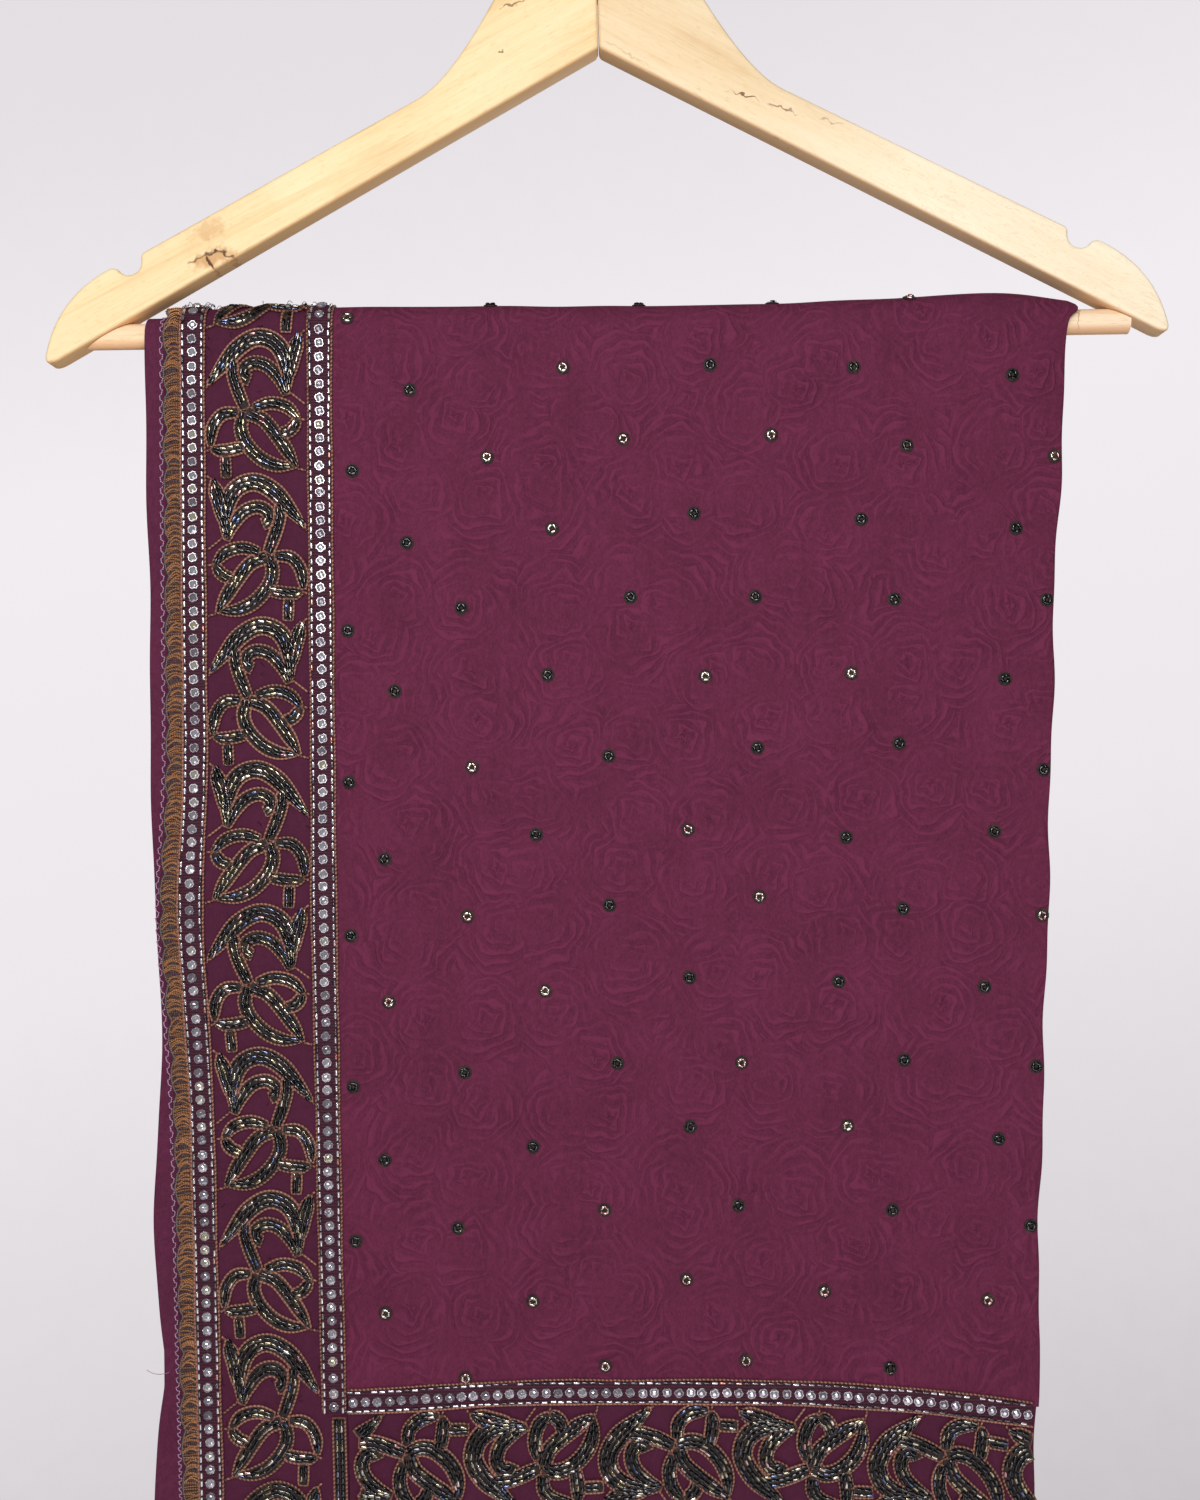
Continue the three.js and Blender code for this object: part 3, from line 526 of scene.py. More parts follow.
def tube(path, radius, sides, out, closed=False, tone=0.0):
    """A round thread along a path. out is roughly the surface's normal there."""
    path = np.asarray(path, float)
    count = len(path)
    if closed:
        along = np.roll(path, -1, 0) - np.roll(path, 1, 0)
    else:
        along = np.gradient(path, axis=0)
    along = unit(along)
    side = unit(np.cross(along, np.broadcast_to(out, path.shape)))
    up = np.cross(side, along)
    angle = 2 * math.pi * np.arange(sides) / sides
    radius = np.broadcast_to(np.asarray(radius, float), (count,))[:, None, None]
    ring = np.cos(angle)[None, :, None] * side[:, None] + np.sin(angle)[None, :, None] * up[:, None]
    rings = path[:, None] + radius * ring
    uv = np.stack(np.meshgrid(travelled(path), angle, indexing="ij"), -1).reshape(-1, 2)
    if closed:
        quads = quads_between(count, sides, closed=True)
        last = (count - 1) * sides + np.arange(sides)
        first = np.arange(sides)
        seam = np.stack([last, np.roll(last, -1), np.roll(first, -1), first], -1)
        shape = Shape(rings, np.concatenate([quads, seam]), np.full(len(quads) + sides, 4))
    else:
        shape = capped(rings)
    shape.tone, shape.uv = np.full(len(shape.points), tone), uv
    return shape


def capped(rings):
    """A bar through rings of points, closed at both ends."""
    rows, columns = rings.shape[:2]
    quads = quads_between(rows, columns, closed=True)
    caps = np.concatenate([np.arange(columns)[::-1], (rows - 1) * columns + np.arange(columns)])
    counts = np.concatenate([np.full(len(quads), 4), [columns, columns]])
    return Shape(rings, np.concatenate([quads.ravel(), caps]), counts)


def thread_on(place, a, b, height, radius, sides, **options):
    """A round thread laid on the cloth at a and b, the two coordinates that place takes."""
    path = place(a, b, height)
    return tube(path, radius, sides, place(a, b, height + 1) - path, **options)


def stamped(model, origins, sideways, along, out, tones=None):
    """Copies of a small shape, one at each origin, with its X, Y and Z on the given axes."""
    count, size = len(origins), len(model.points)
    axes = np.stack([sideways, along, out], axis=1)
    points = origins[:, None] + np.einsum("vi,nij->nvj", model.points, axes)
    corners = model.corners[None] + (np.arange(count) * size)[:, None]
    tones = rng.random(count) if tones is None else tones
    return Shape(
        points, corners, np.tile(model.counts, count), np.repeat(tones, size),
        np.tile(model.uv, (count, 1)))


def piece(name, shape, material, replaces=(), smooth=180.0):
    """A finished piece: its mesh, finish, place in the part and the nodes it stands for."""
    mesh = bpy.data.meshes.new(name)
    starts = np.cumsum(shape.counts) - shape.counts
    mesh.vertices.add(len(shape.points))
    mesh.vertices.foreach_set("co", (shape.points * MM).astype(np.float32).ravel())
    mesh.loops.add(len(shape.corners))
    mesh.loops.foreach_set("vertex_index", shape.corners)
    mesh.polygons.add(len(shape.counts))
    mesh.polygons.foreach_set("loop_start", starts.astype(np.int32))
    mesh.update(calc_edges=True)
    mesh.validate()
    lay = mesh.uv_layers.new(name="lay")
    lay.data.foreach_set("uv", (shape.uv[shape.corners] * MM).astype(np.float32).ravel())
    tone = mesh.attributes.new("tone", "FLOAT", "POINT")
    tone.data.foreach_set("value", shape.tone.astype(np.float32))
    return finish_piece(put(name, mesh), material, replaces, smooth)


def put(name, data):
    """A new object in the scene."""
    obj = bpy.data.objects.new(name, data)
    bpy.context.scene.collection.objects.link(obj)
    return obj


def finish_piece(obj, material, replaces=(), smooth=180.0):
    obj.data.materials.clear()
    obj.data.materials.append(material)
    pick(obj)
    if smooth < 180:
        bpy.ops.object.shade_smooth_by_angle(angle=math.radians(smooth))
    else:
        bpy.ops.object.shade_smooth()
    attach(obj, "root")
    if replaces:
        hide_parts(*replaces)
    return obj


def pick(obj):
    """Makes one object the only selected one."""
    bpy.ops.object.select_all(action="DESELECT")
    obj.select_set(True)
    bpy.context.view_layer.objects.active = obj


def cylinder(sides, radius, depth, middle=(0, 0, 0), rotation=(0, 0, 0)):
    """A cylinder in mm, alone selected, with its place in its mesh."""
    bpy.ops.object.select_all(action="DESELECT")
    bpy.ops.mesh.primitive_cylinder_add(
        vertices=sides, radius=radius * MM, depth=depth * MM,
        location=[v * MM for v in middle], rotation=rotation)
    bpy.ops.object.transform_apply(location=True, rotation=True, scale=True)
    return bpy.context.object


def editing(obj):
    """Edit mode, with nothing selected yet."""
    pick(obj)
    bpy.ops.object.mode_set(mode="EDIT")
    bpy.ops.mesh.select_mode(type="FACE")
    bpy.ops.mesh.select_all(action="DESELECT")


def rounded(obj, width, segments, angle):
    """Rounds the edges that are sharper than the angle."""
    pick(obj)
    rounding = obj.modifiers.new("rounding", "BEVEL")
    rounding.width, rounding.segments = width * MM, segments
    rounding.angle_limit = math.radians(angle)
    bpy.ops.object.modifier_apply(modifier=rounding.name)


def facing(axis, sign=1):
    """A test for the faces that look along an axis."""
    return lambda middle, normal: sign * normal[axis] > 0.9


def raised(by, size=1.0):
    """Extrudes the selected faces by a vector in mm, and draws them in or out."""
    bpy.ops.mesh.extrude_region_move(TRANSFORM_OT_translate={"value": [v * MM for v in by]})
    if size != 1.0:
        narrow = [1 if v else size for v in by]
        bpy.ops.transform.resize(value=narrow)


def select_faces(obj, wanted):
    """Selects the faces whose middle and normal the test accepts, in edit mode."""
    mesh = bmesh.from_edit_mesh(obj.data)
    for face in mesh.faces:
        face.select_set(wanted(face.calc_center_median(), face.normal))
    bmesh.update_edit_mesh(obj.data)


def as_shape(obj):
    """Takes a modelled object's mesh over as a shape, and removes the object."""
    mesh = obj.data
    points = np.zeros(len(mesh.vertices) * 3)
    mesh.vertices.foreach_get("co", points)
    corners = np.zeros(len(mesh.loops), np.int32)
    mesh.loops.foreach_get("vertex_index", corners)
    counts = np.zeros(len(mesh.polygons), np.int32)
    mesh.polygons.foreach_get("loop_total", counts)
    shape = Shape(points.reshape(-1, 3) / MM, corners, counts)
    bpy.data.objects.remove(obj)
    bpy.data.meshes.remove(mesh)
    return shape


# ------------------------------------------------------------------------ shader maths


class Value:
    """A shader socket that takes part in sums."""

    def __init__(self, tree, socket):
        self.tree, self.socket = tree, socket

    def maths(self, operation, *others):
        values = {0: self, **{k + 1: other for k, other in enumerate(others)}}
        return self.tree.add("ShaderNodeMath", {"operation": operation}, values)

    def __add__(self, other):
        return self.maths("ADD", other)

    __radd__ = __add__

    def __sub__(self, other):
        return self.maths("SUBTRACT", other)

    def __rsub__(self, other):
        return self.tree.add("ShaderNodeMath", {"operation": "SUBTRACT"}, {0: other, 1: self})

    def __mul__(self, other):
        return self.maths("MULTIPLY", other)

    __rmul__ = __mul__

    def __truediv__(self, other):
        return self.maths("DIVIDE", other)

    def __pow__(self, other):
        return self.maths("POWER", other)

    def __abs__(self):
        return self.maths("ABSOLUTE")

    def sine(self):
        return self.maths("SINE")

    def fraction(self):
        return self.maths("FRACT")

    def floor(self):
        return self.maths("FLOOR")

    def root(self):
        return self.maths("SQRT")

    def ramp(self, low, high):
        """0 below low, 1 above high, smooth between them."""
        settings = {"interpolation_type": "SMOOTHSTEP"}
        return self.tree.add("ShaderNodeMapRange", settings, {
            "Value": self, "From Min": low, "From Max": high})


class NodeTree:
    """Nodes being laid: add() gives any node with its settings, values and links."""

    def __init__(self, tree):
        self.nodes, self.links = tree.nodes, tree.links

    def add(self, kind, settings=None, values=None, output=0):
        node = self.nodes.new(kind)
        for key, value in (settings or {}).items():
            if key == "stops":
                self.set_stops(node.color_ramp, value)
            else:
                setattr(node, key, value)
        self.connect(node, values or {})
        return None if output is None else Value(self, node.outputs[output])

    def set_stops(self, ramp, stops):
        while len(ramp.elements) > 1:
            ramp.elements.remove(ramp.elements[-1])
        for k, (position, shade) in enumerate(stops):
            element = ramp.elements[0] if k == 0 else ramp.elements.new(position)
            element.position = position
            element.color = (*shade, 1)

    def connect(self, node, values):
        for key, value in values.items():
            socket = node.inputs[key]
            if isinstance(value, Value):
                self.links.new(value.socket, socket)
            elif isinstance(value, tuple) and len(value) == 3 and socket.type == "RGBA":
                socket.default_value = (*value, 1)
            else:
                socket.default_value = value

    def parts(self, vector):
        first = self.add("ShaderNodeSeparateXYZ", None, {0: vector})
        return [Value(self, socket) for socket in first.socket.node.outputs]

    def noise(self, vector, scale, detail=2.0, rough=0.5, warp=0.0):
        return self.add("ShaderNodeTexNoise", None, {
            "Vector": vector, "Scale": scale, "Detail": detail, "Roughness": rough,
            "Distortion": warp})

    def colour_ramp(self, factor, stops):
        return self.add("ShaderNodeValToRGB", {"stops": stops}, {"Fac": factor})


class Finish(NodeTree):
    """A material being made: shade() sets its surface."""

    def __init__(self, name):
        self.material = bpy.data.materials.new(name)
        self.material.use_nodes = True
        super().__init__(self.material.node_tree)
        self.surface = self.nodes["Principled BSDF"]

    def place(self):
        return self.add("ShaderNodeTexCoord", output="Object")

    def cloth_map(self):
        return self.add("ShaderNodeUVMap", {"uv_map": "lay"})

    def tone(self):
        settings = {"attribute_name": "tone", "attribute_type": "GEOMETRY"}
        return self.add("ShaderNodeAttribute", settings, output="Fac")

    def mapped(self, vector, move=(0, 0, 0), turn=(0, 0, 0), size=(1, 1, 1)):
        return self.add("ShaderNodeMapping", None, {
            "Vector": vector, "Location": move, "Rotation": turn, "Scale": size})

    def vectors(self, operation, *values):
        return self.add("ShaderNodeVectorMath", {"operation": operation}, dict(enumerate(values)))

    def mix(self, factor, first, second):
        values = {0: factor, 6: first, 7: second}  # 6 and 7 are its colour sockets, A and B
        return self.add("ShaderNodeMix", {"data_type": "RGBA"}, values, output=2)

    def bent(self, vector, scale, reach):
        """A vector pushed about by a noise, by up to half the reach each way."""
        push = self.add("ShaderNodeTexNoise", None, {
            "Vector": vector, "Scale": scale, "Detail": 1}, output="Color")
        push = self.vectors("SUBTRACT", push, (0.5, 0.5, 0.5))
        return self.vectors("ADD", vector, self.vectors("MULTIPLY", push, reach))

    def bump(self, height, strength, distance, below=None):
        values = {"Height": height, "Strength": strength, "Distance": distance}
        if below is not None:
            values["Normal"] = below
        return self.add("ShaderNodeBump", None, values)

    def shade(self, **values):
        names = {key.replace("_", " ").title(): value for key, value in values.items()}
        fixed = {"Specular Ior Level": "Specular IOR Level"}
        self.connect(self.surface, {fixed.get(key, key): v for key, v in names.items()})
        return self.material


def lighter(shade, by):
    return tuple(min(1.0, c * by) for c in shade)


def tinted(shade, *by):
    """A colour with a share of its red, green and blue."""
    return tuple(c * share for c, share in zip(shade, by))


# -------------------------------------------------------------------------- materials


def rose_relief(finish, flat):
    """Embossed roses: petals wound round scattered centres. Gives the relief, and its ridges for a
    painted highlight.
    """
    bent = finish.bent(flat, 80, (0.009, 0.009, 0))
    centre = finish.add("ShaderNodeTexVoronoi", {"voronoi_dimensions": "2D"}, {
        "Vector": bent, "Scale": 1 / ROSE["cell"], "Randomness": 0.85}, output="Position")
    x, y, _ = finish.parts(finish.vectors("SUBTRACT", bent, centre))
    away = (x * x + y * y).root()
    angle = finish.add("ShaderNodeMath", {"operation": "ARCTAN2"}, {0: y, 1: x})
    winding = away / ROSE["petal"] + angle * (1 / (2 * math.pi))
    ring = winding.floor()
    petals = abs((angle * 2 + ring * 2.4).sine())
    waver = finish.noise(flat, 150, 1)
    edge = (winding + petals * 0.5 + waver * 0.3).fraction()
    rise = edge * (1 - edge.ramp(0.6, 1.0))
    worn = finish.noise(flat, 66, 2).ramp(0.34, 0.62)
    return rise * worn, rise.ramp(0.16, 0.66) * worn


def georgette(name, shade, relief=1.0, shadow=0.0):
    """Matt crepe with embossed roses, also painted in as highlight and shade. shadow darkens it as
    painted shadow where its tone is high.
    """
    finish = Finish(name)
    flat = finish.cloth_map()
    rose, ridge_highlight = rose_relief(finish, flat)
    crepe = finish.noise(finish.mapped(flat, size=(1, 0.55, 1)), 1500, 2)
    crinkle = finish.noise(finish.mapped(flat, size=(1, 0.6, 1)), 480, 3, 0.6, 0.6)
    rib = finish.noise(finish.mapped(flat, size=(1, 0.03, 1)), 200, 2)
    cloud = finish.noise(flat, 40, 3)
    # Painted light: the roses' relief tints the colour, lighter on the petal ridges (painted
    # highlight) and darker over the rest of each petal (painted shade).
    tone = (ridge_highlight - rose * 0.8) * 0.3 * relief + cloud * 0.22 + crepe * 0.36 + rib * 0.1
    tone = tone + crinkle * 0.3
    dark, light = lighter(shade, 0.66), lighter(shade, 1.38)
    base = finish.mix(tone.ramp(0.25, 0.72), dark, light)
    if shadow:
        base = finish.mix(finish.tone() * shadow, base, lighter(shade, 0.5))
    soft = finish.bump(crepe * 0.5 + rib * 0.2 + crinkle * 0.3, 0.3, 0.00018)
    normal = finish.bump(rose, 0.65 * relief, 0.0012, soft)
    return finish.shade(
        base_color=base, roughness=0.85, sheen_weight=0.12, sheen_roughness=0.45,
        sheen_tint=lighter(shade, 3.2), specular_ior_level=0.14, normal=normal)


def wood(name, shade, turn, marks=(), crackle=False):
    """Planed birch: the grain runs along X after the turn about Y. Marks are dark flaws."""
    finish = Finish(name)
    place = finish.place()
    along = finish.mapped(place, turn=(0, turn, 0))

    def streaks(size, *detail):
        return finish.noise(finish.mapped(along, size=size), 1.0, *detail)

    grain = streaks((7, 60, 95), 5, 0.6, 0.4)
    fibre = streaks((60, 900, 1500), 2)
    figure = streaks((11, 20, 24), 3, 0.5, 1.2)
    pores = streaks((170, 1500, 2600), 0).ramp(0.68, 0.78)
    base = finish.colour_ramp(grain * 0.5 + figure * 0.32 + fibre * 0.18, [
        (0.34, tinted(shade, 0.82, 0.7, 0.58)), (0.45, tinted(shade, 0.95, 0.9, 0.82)),
        (0.56, shade), (0.72, tinted(shade, 1, 1.05, 1.16))])
    lines = streaks((5, 160, 240), 3, 0.5, 0.6).ramp(0.57, 0.66)
    base = finish.mix(lines * 0.28, base, tinted(shade, 0.84, 0.66, 0.5))
    speckle = streaks((240, 500, 560), 3, 0.6).ramp(0.54, 0.7)
    base = finish.mix(speckle * 0.22, base, tinted(shade, 0.8, 0.62, 0.4))
    base = finish.mix(pores * 0.3, base, tinted(shade, 0.62, 0.5, 0.36))
    if crackle:
        wavy = streaks((90, 300, 520), 2, 0.5, 1.5)
        outer = finish.parts(place)[0].ramp(0.06, 0.14)
        cracks = (1 - abs(wavy - 0.5).ramp(0.004, 0.03)) * outer
        base = finish.mix(outer * 0.6, base, tinted(shade, 1.2, 1.35, 1.6))
        base = finish.mix(cracks * 0.3, base, tinted(shade, 0.8, 0.66, 0.5))
    wandering = finish.bent(place, 330, (0.005, 0, 0.005))
    for flaw, (x, z, long, wide, lean, stain, strength) in enumerate(marks):
        seen = finish.mapped(wandering, move=(-x * MM, 0, -z * MM))
        mx, _, mz = finish.parts(finish.mapped(seen, turn=(0, math.radians(lean), 0)))
        ragged = finish.noise(finish.mapped(place, move=(flaw, 0, 0)), 420, 3)
        reach = ((mx / (long * MM)) ** 2 + (mz / (wide * MM)) ** 2).root() + ragged * 1.3 - 0.65
        base = finish.mix((1 - reach.ramp(0.35, 1.05)) * strength, base, stain)
    # Painted shade: faces that look downwards get a darker, warmer brown, like undersides that lie
    # in shade.
    painted_underside_shade = finish.parts(finish.add("ShaderNodeNewGeometry", output="True Normal"))[2] * -1
    base = finish.mix(painted_underside_shade.ramp(0.3, 0.8) * 0.75, base, tinted(shade, 0.86, 0.6, 0.42))
    rough = grain.ramp(0.3, 0.7) * 0.12 + 0.44
    normal = finish.bump(fibre * 0.5 + grain * 0.5, 0.2, 0.0003)
    return finish.shade(
        base_color=base, roughness=rough, specular_ior_level=0.25, coat_weight=0.04,
        coat_roughness=0.35, normal=normal)


def bugle_glass():
    """Dark iris glass: black with gold, green, blue and silver flashes, bead by bead."""
    finish = Finish("bugle_bead_glass")
    tone = finish.tone()
    base = finish.colour_ramp(tone, [
        (0.0, (0.012, 0.012, 0.015)), (0.25, (0.032, 0.03, 0.036)), (0.45, (0.1, 0.092, 0.085)),
        (0.58, (0.36, 0.31, 0.2)), (0.68, (0.04, 0.038, 0.045)), (0.76, (0.09, 0.12, 0.24)),
        (0.81, (0.54, 0.46, 0.29)), (0.87, (0.1, 0.085, 0.09)), (0.92, (0.66, 0.6, 0.49)),
        (0.955, (0.36, 0.16, 0.18)), (1.0, (0.93, 0.88, 0.8))])
    return finish.shade(
        base_color=base, roughness=0.2, metallic=1.0, coat_weight=0.8, coat_roughness=0.08)


def silver_glass():
    finish = Finish("silver_bead_glass")
    base = finish.colour_ramp(finish.tone(), [
        (0.0, (0.07, 0.05, 0.06)), (0.25, (0.34, 0.31, 0.34)), (0.55, (0.72, 0.69, 0.73)),
        (0.96, (0.92, 0.89, 0.88)), (1.0, (0.6, 0.22, 0.16))])
    return finish.shade(base_color=base, roughness=0.22, metallic=0.8, coat_weight=0.4)


def stone_glass():
    finish = Finish("faceted_stone_glass")
    base = finish.colour_ramp(finish.tone(), [
        (0.0, (0.3, 0.26, 0.3)), (0.4, (0.52, 0.48, 0.55)), (0.85, (0.78, 0.74, 0.8)),
        (1.0, (0.7, 0.62, 0.42))])
    return finish.shade(
        base_color=base, roughness=0.08, metallic=0.75, coat_weight=1.0, coat_roughness=0.02)


def cup_metal():
    finish = Finish("stone_cup_metal")
    worn = finish.noise(finish.place(), 900, 2)
    base = finish.mix(
        worn.ramp(0.35, 0.65) * 0.3 + finish.tone().ramp(0.05, 0.8) * 0.7, (0.3, 0.27, 0.3),
        (0.93, 0.92, 0.94))
    return finish.shade(base_color=base, roughness=0.36, metallic=0.95)


def twisted_thread(name, shade, pitch, shine=0.25):
    """Thread or cord: two plies twisted, read from the thread's own map."""
    finish = Finish(name)
    u, v, _ = finish.parts(finish.cloth_map())
    twist = (u * (2 * math.pi / (pitch * MM)) + v * (1 / MM)).sine() * 0.5 + 0.5
    fuzz = finish.noise(finish.place(), 1400, 2)
    tone = twist * 0.55 + fuzz * 0.3 + finish.tone() * 0.3
    base = finish.mix(tone.ramp(0.2, 0.85), lighter(shade, 0.3), lighter(shade, 1.3))
    return finish.shade(
        base_color=base, roughness=0.5, metallic=shine, specular_ior_level=0.2,
        normal=finish.bump(twist, 0.6, 0.0002))


def cutwork_ground():
    """Dark felted net that the beads of the cutwork are sewn to."""
    finish = Finish("cutwork_ground")
    place = finish.place()
    net = finish.noise(place, 1500, 2)
    gold = finish.noise(place, 230, 2).ramp(0.56, 0.7)
    base = finish.mix(net.ramp(0.3, 0.7), (0.008, 0.005, 0.006), (0.035, 0.022, 0.018))
    base = finish.mix(gold * 0.35, base, (0.11, 0.06, 0.025))
    return finish.shade(
        base_color=base, roughness=0.7, specular_ior_level=0.25,
        normal=finish.bump(net, 0.5, 0.0003))


def braid_ground(shade):
    finish = Finish("stone_row_braid")
    place = finish.place()
    rib = (finish.parts(place)[2] * (2 * math.pi / 0.0012)).sine() * 0.5 + 0.5
    fuzz = finish.noise(place, 1800, 2)
    base = finish.mix(
        (rib * 0.4 + fuzz * 0.6).ramp(0.25, 0.75), lighter(shade, 0.2), lighter(shade, 0.66))
    return finish.shade(
        base_color=base, roughness=0.75, specular_ior_level=0.25,
        normal=finish.bump(rib * 0.4 + fuzz * 0.6, 0.4, 0.0003))


def net_halo():
    """Frayed grey-brown net that shows beyond the scallops."""
    finish = Finish("edging_net")
    flat = finish.cloth_map()
    u, v, _ = finish.parts(flat)
    hairs = finish.noise(finish.mapped(flat, size=(1, 0.25, 1)), 2600, 2, 0.7)
    mesh = abs((u * (math.pi / 0.0009)).sine()) * abs((v * (math.pi / 0.0009)).sine())
    base = finish.mix(hairs.ramp(0.35, 0.65), (0.022, 0.012, 0.014), (0.09, 0.055, 0.05))
    alpha = (hairs * 1.1 + (1 - mesh) * 0.42).ramp(0.66, 0.84)
    return finish.shade(base_color=base, roughness=0.85, alpha=alpha)


def polished_steel():
    finish = Finish("hook_steel")
    place = finish.place()
    wear = finish.noise(place, 55, 3)
    drawn = finish.noise(finish.mapped(place, size=(1, 1, 0.05)), 2400, 1)
    base = finish.mix(wear.ramp(0.3, 0.7), (0.56, 0.56, 0.58), (0.74, 0.74, 0.75))
    return finish.shade(
        base_color=base, roughness=wear * 0.14 + 0.16, metallic=1.0,
        normal=finish.bump(drawn, 0.08, 0.0001))


# ----------------------------------------------------------------------------- hanger


def curve_points(start, control, end, steps=14):
    t = np.linspace(0, 1, steps + 1)[1:, None]
    a, b, c = (np.array(p, float) for p in (start, control, end))
    return [tuple(p) for p in (1 - t) ** 2 * a + 2 * t * (1 - t) * b + t**2 * c]


def arm_outline():
    """One arm's outline from the hub's top, clockwise, in mm from the inner corner."""
    points = [(HANGER["joint"] / 2, HANGER["hub_top"]), (6.0, HANGER["hub_top"])]
    for control, end in ARM_TOP:
        points += curve_points(points[-1], control, end)
    angles = np.radians(np.linspace(180, 360 + NOTCH["outer_angle"], 19))
    points.append((NOTCH["x"] - NOTCH["radius"], NOTCH["inner_z"]))
    points += [
        (NOTCH["x"] + NOTCH["radius"] * math.cos(a), NOTCH["z"] + NOTCH["radius"] * math.sin(a))
        for a in angles]
    for control, end in ARM_TIP:
        points += curve_points(points[-1], control, end)
    points.append((HANGER["joint"] / 2, -HANGER["joint"] / 2 * HANGER["slope"]))
    return points


def tilted(x, z):
    """A point of the hanger's own frame in the part's frame."""
    cos, sin = math.cos(HANGER["tilt"]), math.sin(HANGER["tilt"])
    return x * cos - z * sin, x * sin + z * cos


def make_arm(name, side, material):
    """An arm as a board: its outline is filled, extruded through and rounded over.

    Its side is -1 for the left arm and 1 for the right one.
    """
    half = HANGER["thickness"] / 2 * MM
    outline = [tilted(side * x, z + HANGER["corner_z"]) for x, z in arm_outline()]
    mesh = bpy.data.meshes.new(name)
    mesh.from_pydata([(x * MM, -half, z * MM) for x, z in outline], [], [range(len(outline))])
    obj = put(name, mesh)
    editing(obj)
    bpy.ops.mesh.select_all(action="SELECT")
    raised((0, HANGER["thickness"], 0))
    bpy.ops.mesh.select_all(action="SELECT")
    bpy.ops.mesh.normals_make_consistent(inside=False)
    bpy.ops.object.mode_set(mode="OBJECT")
    rounded(obj, 1.5, 4, 50)
    return finish_piece(
        obj, material, [name.replace("arm_board", "hanger_arm")], smooth=35)


def hook_path():
    wire_radius = HOOK["inside"] + HOOK["wire"] / 2
    angles = np.radians(np.arange(HOOK["tip"], HOOK["bend"] - 1, -5))
    ring = [(wire_radius * math.cos(a), wire_radius * math.sin(a) - HOOK["inside"]) for a in angles]
    start = np.array(ring[-1])
    controls = np.array([start, start + (-5.7, -8.2), (0, -40), (0, -53)])
    t = np.linspace(0, 1, 15)[1:, None]
    bend = ((1 - t) ** 3 * controls[0] + 3 * t * (1 - t) ** 2 * controls[1]
            + 3 * t**2 * (1 - t) * controls[2] + t**3 * controls[3])
    shank = [(0, z) for z in (-66, -82, HOOK["shank_end"])]
    return [tilted(x, z) for x, z in [*ring, *bend, *shank]]


# --------------------------------------------------------------------- sheets of cloth


def bent_sheet(profile, runs, thickness):
    """A thin sheet whose section across the saree is profile(run) -> x and radius arrays."""
    runs = np.asarray(runs, float)
    x, radius = (np.array(v) for v in zip(*(profile(run) for run in runs)))
    run = np.broadcast_to(runs[:, None], x.shape)
    dx, dr = np.gradient(x, axis=1), np.gradient(radius, axis=1)
    size = np.maximum(np.hypot(dx, dr), 1e-6)
    nx, nr = -dr / size, dx / size
    half = thickness / 2
    outer = lie(x + nx * half, run, radius + nr * half)
    inner = lie(x - nx * half, run, radius - nr * half)
    steps = np.hypot(np.diff(x, axis=1), np.diff(radius, axis=1))
    u = np.concatenate([np.zeros((len(runs), 1)), np.cumsum(steps, axis=1)], axis=1)
    uv = np.stack([u + x[:, :1], run], axis=-1)
    return shell(outer, inner, uv), float(u[len(runs) // 2, -1]), float(runs[-1] - runs[0])


def run_steps(start, end, front, over, back):
    """Runs from start to end, with a step of its own in front, over the bar and behind."""
    parts = []
    if start < 0:
        parts.append(np.arange(start, min(end, -1e-6), front))
    if end > 0:
        parts.append(np.arange(0, min(end, OVER_BAR), over))
    if end > OVER_BAR:
        parts.append(np.arange(OVER_BAR, min(end, FOOT_RUN), back))
    if end > FOOT_RUN:
        parts.append(np.arange(FOOT_RUN, end, TUCK_ARC / 8))
    parts.append([end])
    runs = np.concatenate(parts)
    return runs[np.concatenate([[True], np.diff(runs) > 0.2])]


def fold_arc(edge, top, bottom, steps=7):
    """A rounded fold at the right-hand edge, from the top radius to the bottom one."""
    turn = np.linspace(0, math.pi, steps)
    half = (top - bottom) / 2
    return edge - half + half * np.sin(turn), (top + bottom) / 2 + half * np.cos(turn)


def declare_sheet(obj, width, length_mm):
    width * MM
    length_mm * MM


# ---------------------------------------------------------------- lines laid on the border


def smooth_line(points, step):
    """A smooth curve through a few points, sampled at an even step."""
    p = np.array(points, float)
    p = np.vstack([2 * p[0] - p[1], p, 2 * p[-1] - p[-2]])
    t = np.linspace(0, 1, 24, endpoint=False)[:, None]
    pieces = []
    for a, b, c, d in zip(p[:-3], p[1:-2], p[2:-1], p[3:]):
        pieces.append(0.5 * (2 * b + (c - a) * t + (2 * a - 5 * b + 4 * c - d) * t**2
                             + (3 * b - a - 3 * c + d) * t**3))
    dense = np.vstack([*pieces, p[-2]])
    reached = travelled(dense)
    at = np.linspace(0, reached[-1], max(3, int(round(reached[-1] / step)) + 1))
    return np.stack([np.interp(at, reached, dense[:, k]) for k in (0, 1)], -1)


def side_cell(repeat):
    """Maps a half-repeat's across, down and height to a place on the side border."""
    mirrored = repeat % 2 == 0

    def run_of(down):
        return -(FIRST_CREST["side"] + repeat * REPEAT["side"] + down)

    def place(across, down, height):
        across = BAND_WIDTH - across if mirrored else across
        return on_side(BAND_EDGE + across, run_of(down), height)

    def inside(across, down):
        run = run_of(down)
        return (run > -(FIELD_DEPTH + CLEAR["end"])) & (run < FOOT_RUN - CLEAR["foot"])

    return place, inside


